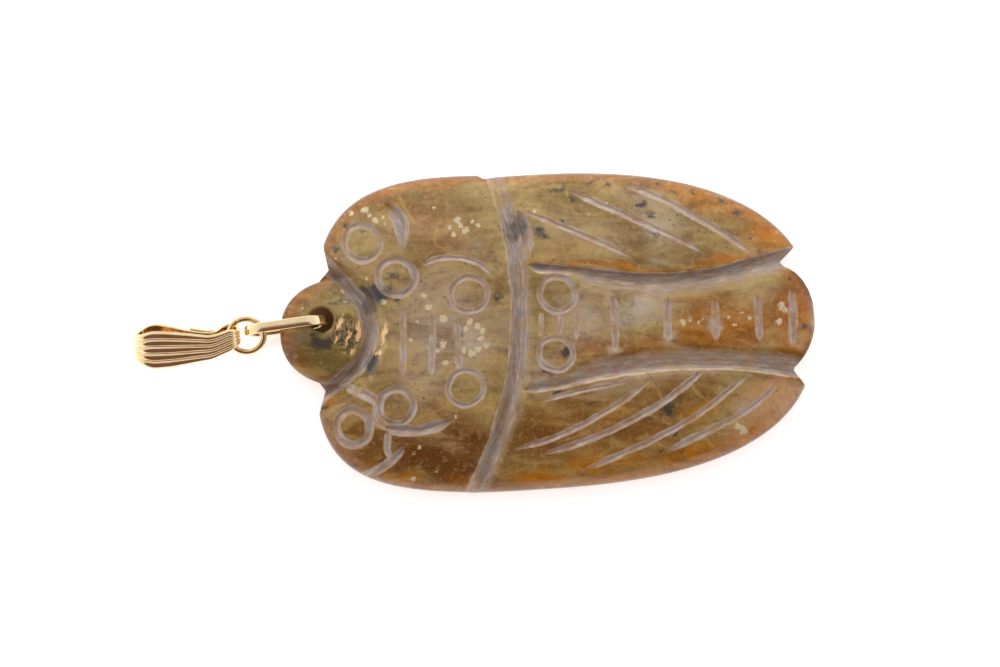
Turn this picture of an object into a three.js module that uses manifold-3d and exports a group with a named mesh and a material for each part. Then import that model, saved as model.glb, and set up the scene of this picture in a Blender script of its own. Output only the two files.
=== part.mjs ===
// Carved cicada pendant: a domed hardstone cicada with a drilled head, hung by an oblong gold link,
// a round jump ring and a fluted bail. Millimetres. X runs from the bail to the tail, Y across the
// wings, Z up from the flat back. The pendant lies on its back and is seen from above.
import * as THREE from "three";
import { mergeVertices } from "three/addons/utils/BufferGeometryUtils.js";
import Module from "manifold-3d";

const wasm = await Module();
wasm.setup();

// Stone
const stoneLength = 55; // nose to tail
const stoneWidth = 33; // across the widest part of the body
const crownHeight = 6.2; // flat back to the top of the dome
const rimTop = 1.9; // flat back to the upper edge of the upright rim
const rimBottom = 1.1; // flat back to the lower edge of the upright rim
const domeFullness = 2.8; // 2 is a round dome, more gives a flatter top and a tighter edge
const tailHeight = 4.6; // flat back to the top of the tail segment
const backFlatShare = 0.86; // share of the half width over which the back stays flat
const carvingDepth = 1; // depth of all the carving, 1 is as drawn

// Head and its hole
const headHeight = 3.9; // flat back to the top of the head
const headFullness = 2.2;
const headLift = 1.25; // hollow under the head, where the lower arm of the link runs
const headEdgeRound = 0.25; // how far the underside of the head curls up at its edge
const holeAt = { x: 321.8, y: 320.2 }; // on the drawing grid
const holePlay = 0.63; // room round the corners of the link's bar inside the hole
const holeFlare = 0.2; // countersink at both mouths

// Gold chain pieces
const pieceGap = 0.32; // open space kept between neighbouring pieces
const restGap = 0.1; // space between the lowest gold and the table
const linkSpan = 8.72; // overall length of the oblong link
const linkWidth = 1.05;
const linkThickness = 0.65;
const linkEdge = 0.16; // bevel along the edges of the bar
const linkTurn = 7.9; // degrees the link runs down towards the bail
const linkRoll = 6; // degrees the link leans over, showing its lower side
const linkSag = 0.1; // how far the link hangs below the middle of the hole
const ringDiameter = 4.2; // outside
const ringWire = 0.6;
const ringTilt = 20; // degrees the ring leans over
const ringDrop = 0.4; // how far the ring hangs below the middle of the link's bar
const bailLength = 11.1;
const bailWidth = 4; // widest part of the front leaf
const bailThickness = 0.42;
const bailDepth = 3; // front leaf to back leaf, outside
const bailTurn = 2.2; // degrees the bail runs down to its wide end
const bailRoll = 18; // degrees the bail leans over, showing the back leaf above
const bailDrop = 0.05; // middle of the eye below the middle of the ring
const leafDrop = 0.84; // middle of the leaf below the middle of the eye
const eyePlay = 0.52; // room round the ring's wire inside the bail's eye
const ribCount = 5;
const ribHeight = 0.26;
const tongueThickness = 0.3;
const tongueReach = 4; // from the middle of the eye to the square end of the tongue

// Drawing grid: the plan of the stone is drawn on squares, x to the tail and y down towards the lower
// wing. The stone covers gridLength by gridWidth squares, and its middle is at gridMiddle.
const gridLength = 535;
const gridWidth = 321;
const gridMiddle = { x: 547.6, y: 332.7 };
const squareLong = stoneLength / gridLength;
const squareWide = stoneWidth / gridWidth;

// Lobes of the outline: middle, half length, half width, turn in degrees, and the fullness of the curve
// above and below the middle.
const thorax = { x: 517.7, y: 333.9, long: 203, wide: 158.7, turn: 0, upper: 3.42, lower: 3.76 };
const wings = { x: 527.3, y: 332.6, long: 287.7, wide: 157.5, turn: 3.67, upper: 2.44, lower: 2.65 };
const head = { x: 348.9, y: 332.5, long: 68.8, wide: 54.3, turn: 0, upper: 2.25, lower: 2.25 };
const tail = { x: 770.8, y: 322.8, long: 43.5, wide: 57.4, turn: -9, upper: 1.89, lower: 1.89 };
const neck = { x: 321, y: 333, long: 51, wide: 61.5, turn: 0, upper: 1.75, lower: 1.75 };

// Notches between the body and the head or tail: the inner corner and the two edges that run out from it.
const notches = [
  { x: 328.5, y: 270.5, edges: [[-5, -24], [-9.5, 11.5]] },
  { x: 325.3, y: 391, edges: [[-7, 29], [-5.3, -7.5]] },
  { x: 779, y: 262.3, edges: [[13, -13], [7, 8]] },
  { x: 793.3, y: 370.5, edges: [[11, 14], [1.5, -12]] },
  { x: 483.5, y: 179.5, edges: [[-7, -4], [22, -4.5]] },
];
const collarTop = { x: 487, y: 178 };
const collarFoot = { x: 470, y: 491 };

// Carved strokes on the crown. Each follows the listed points at its deepest line. reach is the distance
// from that line to the lip on the left and on the right of the direction of travel, deep is in
// millimetres, and swell is the share of the stroke over which it deepens and dies away (0 runs off).
const strokes = [
  { name: "neck", reach: [7, 9], deep: 0.8, swell: [0, 0],
    at: [[326, 264], [361, 301], [372, 333], [360, 365], [321, 397]] },
  { name: "collar", reach: [15, 8], deep: 0.95, swell: [0, 0],
    at: [[490, 168], [508, 222], [518, 300], [514, 375], [494, 445], [470, 500]] },
  { name: "collar pocket", reach: [8, 8], deep: 0.85, swell: [0.3, 0.5],
    at: [[514, 206], [525, 238], [521, 272]] },
  { name: "upper wing edge", reach: [3, 7], deep: 0.85, swell: [0.08, 0.3],
    at: [[526, 265], [575, 269.5], [640, 275.5], [700, 272.5]] },
  { name: "upper wing ground", reach: [3, 23], deep: 1.1, swell: [0.2, 0],
    at: [[560, 269], [600, 272.5], [650, 276.5], [700, 273], [745, 262.5], [800, 247]] },
  { name: "lower wing edge", reach: [10, 3.5], deep: 0.75, swell: [0.15, 0.3],
    at: [[517, 391], [560, 385], [600, 376], [650, 369], [690, 366.5]] },
  { name: "lower wing ground", reach: [21, 3.5], deep: 1, swell: [0.2, 0],
    at: [[552, 386.5], [600, 375.5], [650, 368], [700, 365.5], [745, 367], [806, 375]] },
  { name: "wing fold", reach: [2.6, 2.6], deep: 0.3, swell: [0.3, 0.3],
    at: [[534, 403], [580, 390.5], [632, 381]] },
  { name: "front tick", reach: [3.6, 3.6], deep: 0.4, swell: [0.15, 0.15],
    at: [[403, 308], [404, 342], [403, 377]] },
  { name: "middle tick", reach: [3.6, 3.6], deep: 0.4, swell: [0.15, 0.15],
    at: [[432, 314], [433, 345], [431, 378]] },
  { name: "rear tick", reach: [3.6, 3.6], deep: 0.4, swell: [0.15, 0.15],
    at: [[457, 320], [459, 345], [459, 371]] },
  { name: "first band", reach: [4, 4], deep: 0.55, swell: [0.12, 0.12],
    at: [[611, 295], [614, 322], [614, 353]] },
  { name: "second band", reach: [4.2, 4.2], deep: 0.55, swell: [0.2, 0.2],
    at: [[667, 299], [666, 320], [667, 342]] },
  { name: "third band", reach: [4.6, 4.6], deep: 0.55, swell: [0.25, 0.25],
    at: [[713, 298], [714, 320], [715, 342]] },
  { name: "fourth band", reach: [4.2, 4.2], deep: 0.55, swell: [0.2, 0.2],
    at: [[755, 294], [757, 320], [759, 343]] },
  { name: "last band", reach: [4.6, 4.6], deep: 0.55, swell: [0.2, 0.2],
    at: [[790, 286], [792, 318], [791, 348]] },
  { name: "brow", reach: [3, 3], deep: 0.35, swell: [0.2, 0.25],
    at: [[420, 268], [436, 260], [458, 258.5], [480, 265], [498, 280]] },
  { name: "upper leaf", reach: [8, 7.5], deep: 0.6, swell: [0.3, 0.55],
    at: [[385, 203], [399, 219], [403, 235], [401, 258]] },
  { name: "lower leaf", reach: [3.6, 3.6], deep: 0.4, swell: [0.2, 0.3],
    at: [[389, 430], [388, 445], [391, 460]] },
  { name: "lower branch", reach: [4.6, 5], deep: 0.6, swell: [0.3, 0],
    at: [[406, 442], [397, 456], [381, 468], [356, 483]] },
  { name: "whisker", reach: [6, 6], deep: 0.5, swell: [0.15, 0.3],
    at: [[384, 427], [410, 430], [432, 427], [455, 418]] },
  { name: "cheek", reach: [5, 5], deep: 0.5, swell: [0.15, 0.15],
    at: [[343, 386], [362, 393], [377, 402], [378, 418], [389, 430]] },
  { name: "upper vein one", reach: [3.4, 3.4], deep: 0.4, swell: [0.2, 0.25],
    at: [[521, 211], [560, 226.5], [600, 243], [636, 260]] },
  { name: "upper vein two", reach: [3.4, 3.4], deep: 0.4, swell: [0.18, 0.25],
    at: [[564, 190], [600, 205], [640, 222.5], [680, 241], [711, 258]] },
  { name: "upper vein three", reach: [3.8, 3.8], deep: 0.42, swell: [0.18, 0.2],
    at: [[618, 184], [660, 199], [700, 220.5], [730, 239], [756, 259]] },
  { name: "lower vein one", reach: [3.6, 3.6], deep: 0.42, swell: [0.2, 0.2],
    at: [[508, 450], [545, 440], [580, 425], [620, 402], [654, 375]] },
  { name: "lower vein two", reach: [3.8, 3.8], deep: 0.42, swell: [0.2, 0.12],
    at: [[535, 455], [565, 447], [610, 430], [660, 403], [705, 368]] },
  { name: "lower vein three", reach: [3.6, 3.6], deep: 0.42, swell: [0.2, 0.15],
    at: [[575, 473], [610, 458], [660, 435], [700, 412], [750, 371]] },
  { name: "lower vein four", reach: [4, 4], deep: 0.42, swell: [0.25, 0.2],
    at: [[659, 454], [700, 434], [735, 416], [760, 399], [780, 378]] },
  { name: "left stay", reach: [2.6, 2.6], deep: 0.28, swell: [0.2, 0.2],
    at: [[541, 311], [541, 324], [540, 338]] },
  { name: "middle stay", reach: [2.6, 2.6], deep: 0.28, swell: [0.2, 0.2],
    at: [[560, 313], [560, 324], [559, 336]] },
  { name: "right stay", reach: [2.6, 2.6], deep: 0.28, swell: [0.2, 0.2],
    at: [[576, 310], [577, 325], [575, 342]] },
];

// Carved rings round a raised disc: middle, radius of the deepest line, distance to each lip, depth.
const rings = [
  { name: "upper front ring", x: 363, y: 243.5, radius: 17.5, reach: 3.6, deep: 0.5 },
  { name: "upper second ring", x: 397, y: 277.5, radius: 18, reach: 4, deep: 0.62 },
  { name: "upper rear ring", x: 469.5, y: 294.8, radius: 17.7, reach: 3.2, deep: 0.45 },
  { name: "lower rear ring", x: 466, y: 387.5, radius: 17.5, reach: 3.2, deep: 0.45 },
  { name: "lower second ring", x: 397, y: 406, radius: 17, reach: 4, deep: 0.62 },
  { name: "lower front ring", x: 354, y: 427, radius: 17, reach: 4.8, deep: 0.6 },
  { name: "upper back ring", x: 557, y: 294.5, radius: 17.5, reach: 3.5, deep: 0.4 },
  { name: "lower back ring", x: 555.5, y: 354, radius: 16.5, reach: 3.4, deep: 0.38 },
];

// Plain cuts on the flat back, kept away from its middle.
const backStrokes = [
  { name: "back collar", reach: [4, 4], deep: 0.4, swell: [0.15, 0.15],
    at: [[500, 205], [492, 333], [498, 460]] },
  { name: "back upper wing", reach: [4, 4], deep: 0.4, swell: [0.2, 0.2],
    at: [[512, 305], [620, 292], [735, 262]] },
  { name: "back lower wing", reach: [4, 4], deep: 0.4, swell: [0.2, 0.2],
    at: [[512, 361], [620, 372], [745, 396]] },
  { name: "back first band", reach: [3.6, 3.6], deep: 0.35, swell: [0.2, 0.2],
    at: [[640, 306], [638, 332], [640, 358]] },
  { name: "back second band", reach: [3.6, 3.6], deep: 0.35, swell: [0.2, 0.2],
    at: [[690, 304], [688, 334], [690, 364]] },
  { name: "back third band", reach: [3.6, 3.6], deep: 0.35, swell: [0.2, 0.2],
    at: [[738, 300], [736, 334], [738, 368]] },
];

const degrees = THREE.MathUtils.degToRad;
const mix = THREE.MathUtils.lerp;
const smooth = (value, low, high) => THREE.MathUtils.smoothstep(value, low, high);
const planX = (x) => (x - gridMiddle.x) * squareLong;
const planY = (y) => (gridMiddle.y - y) * squareWide;

// Distance of a grid point from the middle of a lobe, 1 on the lobe's outline.
function lobeShare(lobe, x, y) {
  const turn = degrees(lobe.turn);
  const right = x - lobe.x;
  const up = lobe.y - y;
  const long = (right * Math.cos(turn) + up * Math.sin(turn)) / lobe.long;
  const wide = (up * Math.cos(turn) - right * Math.sin(turn)) / lobe.wide;
  const power = wide > 0 ? lobe.upper : lobe.lower;
  return (Math.abs(long) ** power + Math.abs(wide) ** power) ** (1 / power);
}

// How far a grid point lies behind the collar line, in squares.
function behindCollar(x, y) {
  const lean = (collarFoot.x - collarTop.x) / (collarFoot.y - collarTop.y);
  return x - collarTop.x - (y - collarTop.y) * lean;
}

function inNotch(notch, x, y) {
  const [[ax, ay], [bx, by]] = notch.edges;
  const across = ax * by - ay * bx;
  const dx = x - notch.x;
  const dy = y - notch.y;
  return (dx * by - dy * bx) / across > 0 && (ax * dy - ay * dx) / across > 0;
}

function insideOutline(x, y) {
  if (lobeShare(head, x, y) < 1 || lobeShare(tail, x, y) < 1) return true;
  const body = behindCollar(x, y) < 0 ? thorax : wings;
  return lobeShare(body, x, y) < 1 && !notches.some((notch) => inNotch(notch, x, y));
}

// Distance in squares from the middle of the stone to its outline in one direction.
function outlineReach(angle) {
  let near = 0;
  let far = gridLength;
  for (let halving = 0; halving < 24; halving += 1) {
    const middle = (near + far) / 2;
    const x = gridMiddle.x + middle * Math.cos(angle);
    const y = gridMiddle.y - middle * Math.sin(angle);
    if (insideOutline(x, y)) near = middle;
    else far = middle;
  }
  return near;
}

const dome = (share, fullness) => Math.max(0, 1 - share ** fullness) ** (1 / fullness);

const collarBlend = 12; // squares on each side of the collar line
const neckInner = 0.92; // shares of the neck's lobe between which the thorax rises from the head
const neckOuter = 1.32;
const liftEdge = 0.98; // shares of the neck's lobe between which the underside rises
const liftFull = 0.72;

function bodyShare(x, y) {
  const behind = smooth(behindCollar(x, y), -collarBlend, collarBlend);
  return mix(Math.min(1, lobeShare(thorax, x, y)), Math.min(1, lobeShare(wings, x, y)), behind);
}

// Height of the uncarved crown over a grid point.
function crownAt(x, y) {
  const body = rimTop + (crownHeight - rimTop) * dome(bodyShare(x, y), domeFullness);
  const end = rimTop + (tailHeight - rimTop) * dome(lobeShare(tail, x, y), domeFullness);
  const front = rimTop + (headHeight - rimTop) * dome(lobeShare(head, x, y), headFullness);
  const behindNeck = smooth(lobeShare(neck, x, y), neckInner, neckOuter);
  return mix(front, Math.max(body, end), behindNeck);
}

// Height of the underside over a grid point.
function undersideAt(x, y) {
  const curl = (share) => 1 - Math.sqrt(1 - share ** 2);
  const edge = Math.max(0, (bodyShare(x, y) - backFlatShare) / (1 - backFlatShare));
  const headEdge = Math.max(0, (lobeShare(head, x, y) - backFlatShare) / (1 - backFlatShare));
  const lifted = headLift + headEdgeRound * curl(Math.min(1, headEdge));
  const lift = 1 - smooth(lobeShare(neck, x, y), liftFull, liftEdge);
  return mix(rimBottom * curl(Math.min(1, edge)), lifted, lift);
}

// Joins a row of equal outlines into one closed solid. An open row is capped at both ends.
function loft(outlines, closed) {
  const count = outlines[0].length;
  const positions = outlines.flat().flatMap((point) => [point.x, point.y, point.z]);
  const faces = [];
  const last = closed ? outlines.length : outlines.length - 1;
  for (let row = 0; row < last; row += 1) {
    const next = (row + 1) % outlines.length;
    for (let i = 0; i < count; i += 1) {
      const j = (i + 1) % count;
      const a = row * count + i;
      const b = row * count + j;
      const c = next * count + j;
      const d = next * count + i;
      faces.push(a, b, c, a, c, d);
    }
  }
  if (!closed) {
    const end = (outlines.length - 1) * count;
    for (let i = 1; i < count - 1; i += 1) {
      faces.push(0, i + 1, i);
      faces.push(end, end + i, end + i + 1);
    }
  }
  const geometry = new THREE.BufferGeometry();
  geometry.setAttribute("position", new THREE.Float32BufferAttribute(positions, 3));
  geometry.setIndex(faces);
  return geometry;
}

// A geometry as a solid that can be joined and cut, turned right side out where it is inside out.
function solidOf(geometry) {
  const bare = new THREE.BufferGeometry();
  const source = geometry.index ? geometry.toNonIndexed() : geometry;
  bare.setAttribute("position", source.getAttribute("position").clone());
  const merged = mergeVertices(bare, 1e-4);
  const corners = new Uint32Array(merged.index.array);
  const build = (triVerts) =>
    new wasm.Manifold(
      new wasm.Mesh({ numProp: 3, vertProperties: merged.attributes.position.array, triVerts }),
    );
  const solid = build(corners);
  return solid.volume() < 0 ? build(corners.slice().reverse()) : solid;
}

function geometryFrom(points, faces) {
  const geometry = new THREE.BufferGeometry();
  geometry.setFromPoints(points);
  geometry.setIndex(faces.flat());
  geometry.computeVertexNormals();
  return geometry;
}

function meshOf(solid) {
  const mesh = solid.getMesh();
  const points = Array.from({ length: mesh.numVert }, (_, i) =>
    new THREE.Vector3().fromArray(mesh.vertProperties, i * mesh.numProp),
  );
  const faces = Array.from({ length: mesh.triVerts.length / 3 }, (_, i) => [
    ...mesh.triVerts.subarray(i * 3, i * 3 + 3),
  ]);
  return [points, faces];
}

const geometryOf = (solid) => geometryFrom(...meshOf(solid));

// Thins out the small facets that cuts leave behind. A corner is drawn into a neighbouring corner where
// that keeps the surface within the tolerance of every plane the corner stood for, turns no facet over
// and leaves no needle.
const needleHeight = 0.012;
const leastFacing = 0.3;
const thinningTolerance = 0.009;
const thinningPasses = 8;

function thinnedOut(points, faces, tolerance) {
  const around = points.map(() => new Set());
  const planes = points.map(() => []);
  const edge = new THREE.Vector3();
  const crossOf = (face) => {
    const [a, b, c] = face.map((corner) => points[corner]);
    return new THREE.Vector3().subVectors(b, a).cross(edge.subVectors(c, a));
  };
  const heightOf = (face, cross) => {
    const [a, b, c] = face.map((corner) => points[corner]);
    return cross.length() / Math.max(a.distanceTo(b), b.distanceTo(c), c.distanceTo(a));
  };
  faces.forEach((face, i) => {
    const normal = crossOf(face);
    const flat = heightOf(face, normal) < needleHeight;
    normal.normalize();
    const plane = [normal.x, normal.y, normal.z, -normal.dot(points[face[0]])];
    for (const corner of face) {
      around[corner].add(i);
      if (!flat) planes[corner].push(plane);
    }
  });
  const neighbours = (corner) => {
    const found = new Set();
    for (const i of around[corner]) faces[i].forEach((other) => found.add(other));
    found.delete(corner);
    return found;
  };
  const staysNear = (corner, { x, y, z }) =>
    planes[corner].every(([a, b, c, d]) => Math.abs(a * x + b * y + c * z + d) < tolerance);
  const canDraw = (from, to) => {
    const shared = [...neighbours(from)].filter((other) => neighbours(to).has(other));
    if (shared.length !== 2 || !staysNear(from, points[to])) return false;
    return [...around[from]].every((i) => {
      if (faces[i].includes(to)) return true;
      const before = crossOf(faces[i]);
      const moved = faces[i].map((corner) => (corner === from ? to : corner));
      const after = crossOf(moved);
      const wasNeedle = heightOf(faces[i], before) < needleHeight;
      if (!wasNeedle && before.dot(after) < leastFacing * before.length() * after.length()) return false;
      return heightOf(moved, after) > (wasNeedle ? 0 : needleHeight);
    });
  };
  const draw = (from, to) => {
    for (const i of around[from]) {
      if (faces[i].includes(to)) {
        faces[i].forEach((corner) => corner !== from && around[corner].delete(i));
        faces[i] = null;
      } else {
        faces[i] = faces[i].map((corner) => (corner === from ? to : corner));
        around[to].add(i);
      }
    }
    around[from].clear();
    planes[to].push(...planes[from]);
  };
  for (let pass = 0; pass < thinningPasses; pass += 1) {
    const edges = points.flatMap((point, from) =>
      [...neighbours(from)].map((to) => [point.distanceTo(points[to]), from, to]),
    );
    edges.sort((one, other) => one[0] - other[0]);
    let drawn = 0;
    for (const [, from, to] of edges) {
      if (!around[from].size || !around[to].size || !neighbours(from).has(to)) continue;
      if (!canDraw(from, to)) continue;
      draw(from, to);
      drawn += 1;
    }
    if (!drawn) break;
  }
  return [points, faces.filter((face) => face)];
}

// Uncarved stone: rings of points from the middle of the back over the rim to the top of the dome, each
// ring a share of the way to the outline.
const outlineSteps = 144;
const backRows = 12;
const crownRows = 22;
const shareOf = (row, rows) => Math.sin(((row + 1) / rows) * (Math.PI / 2));

// Evenly spread directions, with the nearest one moved onto each corner of the outline.
function outlineAngles() {
  const angles = Array.from({ length: outlineSteps }, (_, i) => (i * 2 * Math.PI) / outlineSteps);
  const corners = notches.flatMap((notch) => [
    [notch.x, notch.y],
    ...notch.edges.map(([x, y]) => [notch.x + x, notch.y + y]),
  ]);
  for (const [x, y] of corners) {
    const angle = Math.atan2(gridMiddle.y - y, x - gridMiddle.x);
    const turned = angle < 0 ? angle + 2 * Math.PI : angle;
    const nearest = Math.round((turned * outlineSteps) / (2 * Math.PI)) % outlineSteps;
    angles[nearest] = turned;
  }
  return angles;
}

function stoneBlank() {
  const angles = outlineAngles();
  const reaches = angles.map(outlineReach);
  const ringAt = (share, height) =>
    angles.map((angle, i) => {
      const x = gridMiddle.x + share * reaches[i] * Math.cos(angle);
      const y = gridMiddle.y - share * reaches[i] * Math.sin(angle);
      return new THREE.Vector3(planX(x), planY(y), height(x, y));
    });
  const rows = [
    ...Array.from({ length: backRows }, (_, i) => ringAt(shareOf(i, backRows), undersideAt)),
    ...Array.from({ length: crownRows }, (_, i) =>
      ringAt(shareOf(crownRows - 1 - i, crownRows), crownAt),
    ),
  ];
  const wall = rows.map((_, i) => new THREE.Vector2(1, i));
  const profile = new THREE.LatheGeometry(
    [new THREE.Vector2(0, 0), ...wall, new THREE.Vector2(0, rows.length)],
    outlineSteps,
  );
  const spots = profile.getAttribute("position");
  const rowLength = rows.length + 2;
  for (let i = 0; i <= outlineSteps; i += 1) {
    const direction = (outlineSteps - (i % outlineSteps)) % outlineSteps;
    spots.setXYZ(i * rowLength, 0, 0, undersideAt(gridMiddle.x, gridMiddle.y));
    rows.forEach((row, j) => spots.setXYZ(i * rowLength + j + 1, ...row[direction].toArray()));
    spots.setXYZ(i * rowLength + rowLength - 1, 0, 0, crownAt(gridMiddle.x, gridMiddle.y));
  }
  return solidOf(profile);
}

// Sections of a cutter across a carved stroke: a bent V that meets the surface at both lips and is
// carried on past them, closed off clear of the stone.
const lipOvershoot = 1.3;
const clearOfStone = 1.5;
const fadedShare = 0.04;
const fadedLift = 0.03;

function cutterSection(x, y, sideX, sideY, reach, deep, strength, fromBelow) {
  const surface = fromBelow ? undersideAt : crownAt;
  const inward = fromBelow ? 1 : -1;
  const outside = fromBelow ? -clearOfStone : crownHeight + clearOfStone;
  const width = Math.max(strength, fadedShare);
  const floor = surface(x, y) + inward * (deep * carvingDepth * strength - fadedLift * (1 - strength));
  const bottom = new THREE.Vector3(planX(x), planY(y), floor);
  const lip = (distance, sign) => {
    const lipX = x + sign * sideX * distance * width;
    const lipY = y + sign * sideY * distance * width;
    const edge = new THREE.Vector3(planX(lipX), planY(lipY), surface(lipX, lipY));
    return bottom.clone().lerp(edge, lipOvershoot);
  };
  const left = lip(reach[0], 1);
  const right = lip(reach[1], -1);
  return [
    bottom,
    right,
    new THREE.Vector3(right.x, right.y, outside),
    new THREE.Vector3(left.x, left.y, outside),
    left,
  ];
}

const squaresPerStep = 20; // spacing of the sections along a stroke
const fewestSteps = 4;

function strokeCutter(stroke, fromBelow = false) {
  const curve = new THREE.SplineCurve(stroke.at.map(([x, y]) => new THREE.Vector2(x, y)));
  const steps = Math.max(fewestSteps, Math.round(curve.getLength() / squaresPerStep));
  const ease = (run) => Math.sin((Math.min(1, run) * Math.PI) / 2);
  const sections = [];
  for (let i = 0; i <= steps; i += 1) {
    const t = i / steps;
    const spot = curve.getPointAt(t);
    const along = curve.getTangentAt(t);
    const [start, end] = stroke.swell;
    const rising = start > 0 ? ease(t / start) : 1;
    const falling = end > 0 ? ease((1 - t) / end) : 1;
    const strength = rising * falling;
    const { reach, deep } = stroke;
    sections.push(
      cutterSection(spot.x, spot.y, along.y, -along.x, reach, deep, strength, fromBelow),
    );
  }
  return solidOf(loft(sections, false));
}

const ringSteps = 16;
const holeFacets = 24;

function ringCutter(ring) {
  const sections = [];
  for (let i = 0; i < ringSteps; i += 1) {
    const angle = (i * 2 * Math.PI) / ringSteps;
    const outX = Math.cos(angle);
    const outY = Math.sin(angle);
    const x = ring.x + ring.radius * outX;
    const y = ring.y + ring.radius * outY;
    sections.push(cutterSection(x, y, outX, outY, [ring.reach, ring.reach], ring.deep, 1, false));
  }
  return solidOf(loft(sections, true));
}

// Hole through the head, wide enough for the link's bar with room at its corners.
const barCorner = Math.hypot(linkWidth / 2, linkThickness / 2);
const holeRadius = barCorner + holePlay;
const holeMiddle = new THREE.Vector2(planX(holeAt.x), planY(holeAt.y));
const headTopAtHole = crownAt(holeAt.x, holeAt.y);
const headUnderAtHole = undersideAt(holeAt.x, holeAt.y);

function holeCutter() {
  const mouth = holeRadius + holeFlare;
  const below = headUnderAtHole - clearOfStone;
  const above = headTopAtHole + clearOfStone;
  const profile = [
    [0, below],
    [mouth, below],
    [mouth, headUnderAtHole],
    [holeRadius, headUnderAtHole + holeFlare],
    [holeRadius, headTopAtHole - holeFlare],
    [mouth, headTopAtHole],
    [mouth, above],
    [0, above],
  ].map(([radius, height]) => new THREE.Vector2(radius, height));
  const geometry = new THREE.LatheGeometry(profile, holeFacets);
  geometry.rotateX(Math.PI / 2);
  geometry.translate(holeMiddle.x, holeMiddle.y, 0);
  return solidOf(geometry);
}

function carvedStone() {
  let stone = stoneBlank();
  const cutters = [
    ...strokes.map((stroke) => strokeCutter(stroke)),
    ...rings.map(ringCutter),
    ...backStrokes.map((stroke) => strokeCutter(stroke, true)),
    holeCutter(),
  ];
  for (const cutter of cutters) stone = stone.subtract(cutter);
  const [points, faces] = thinnedOut(...meshOf(stone), thinningTolerance);
  return mergeVertices(geometryFrom(points, faces).toNonIndexed(), 1e-5);
}

// A frame for a leaning chain piece: long runs along it, side across it, up out of its face.
function leaningFrame(turn, roll) {
  const long = new THREE.Vector3(Math.cos(degrees(turn)), Math.sin(degrees(turn)), 0);
  const level = new THREE.Vector3(-long.y, long.x, 0);
  const side = level.clone().multiplyScalar(Math.cos(degrees(roll)));
  side.z = Math.sin(degrees(roll));
  return { long, side, up: new THREE.Vector3().crossVectors(long, side) };
}

function placed(frame, origin, long, side, up) {
  return origin
    .clone()
    .addScaledVector(frame.long, long)
    .addScaledVector(frame.side, side)
    .addScaledVector(frame.up, up);
}

// Bail: a strip bent into a long loop round the chain, closed to an eye round the jump ring. Its middle
// line runs from the eye's outer end over the front leaf, round the wide end and back underneath.
// Distances are from the middle of the eye towards the wide end.
const wireRadius = ringWire / 2;
const eyeRadius = wireRadius + eyePlay;
const eyeMiddle = eyeRadius + bailThickness / 2;
const wideEnd = bailLength - eyeRadius - bailThickness * 1.5;
const leafRise = (bailDepth - bailThickness) / 2;
const pinchHeight = eyeMiddle - bailThickness - pieceGap;

// Corners of the middle line, as shares of the eye's size near the eye and of the leaf's size beyond it.
const bailLine = new THREE.CatmullRomCurve3(
  [
    [-eyeMiddle, 0],
    [-0.66 * eyeMiddle, 0.86 * eyeMiddle],
    [0.35 * eyeMiddle, 1.12 * eyeMiddle],
    [wideEnd * 0.35, leafRise * 0.93],
    [wideEnd * 0.68, leafRise * 1.02],
    [wideEnd * 0.92, leafRise * 0.82],
    [wideEnd, leafRise * 0.1],
    [wideEnd * 0.93, leafRise * -0.78],
    [wideEnd * 0.77, leafRise * -0.97],
    [wideEnd * 0.6, leafRise * -0.56],
    [wideEnd * 0.44, leafRise * -0.06],
    [wideEnd * 0.3, pinchHeight * 0.35],
    [1.38 * eyeMiddle, pinchHeight * -0.25],
    [0.62 * eyeMiddle, -0.94 * eyeMiddle],
    [-0.62 * eyeMiddle, -0.92 * eyeMiddle],
  ].map(([long, up]) => new THREE.Vector3(long, up, 0)),
  true,
  "centripetal",
);

// Half width of the strip, as shares of the widest: narrow round the eye, full on the leaf, drawn in
// again at the wide end.
const eyeShare = 0.66;
const bendShare = 0.31; // at the outer end of the eye
const wideEndShare = 0.7;
const fullWidthAt = wideEnd * 0.8;
const leafStart = wideEnd * 0.16; // where the leaf has come down to its own middle

function bailHalfWidth(long) {
  const leaf = mix(eyeShare, 1, smooth(long, 0, fullWidthAt));
  const bend = Math.sqrt(Math.max(0, Math.min(1, 1 + long / eyeMiddle)));
  const drawn = smooth(long, fullWidthAt, wideEnd + bailThickness);
  return (bailWidth / 2) * leaf * mix(bendShare / eyeShare, 1, bend) * mix(1, wideEndShare, drawn);
}

// Share of the middle line at which the back leaf passes a distance from the eye.
const backLeafFrom = 0.5;
const backLeafTo = 0.95;

function backLeafAt(long) {
  let near = backLeafFrom;
  let far = backLeafTo;
  for (let halving = 0; halving < 20; halving += 1) {
    const middle = (near + far) / 2;
    if (bailLine.getPointAt(middle).x > long) near = middle;
    else far = middle;
  }
  return near;
}

const bailSteps = 42;
const tongueSteps = 6;
const tongueOverhang = 1.12; // width of the tongue as a share of the leaf's
const ribFacets = 3;
const backRibShare = 0.35; // height of the ribs on the back leaf, as a share of the front's
const tongueEnd = eyeMiddle * 1.45; // where the tongue stops beside the eye

const bailFrame = leaningFrame(180 + bailTurn, -bailRoll);
// The frame's side points down the picture; the up vector must still point away from the table.
const bailUp = bailFrame.up.z < 0 ? -1 : 1;

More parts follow.
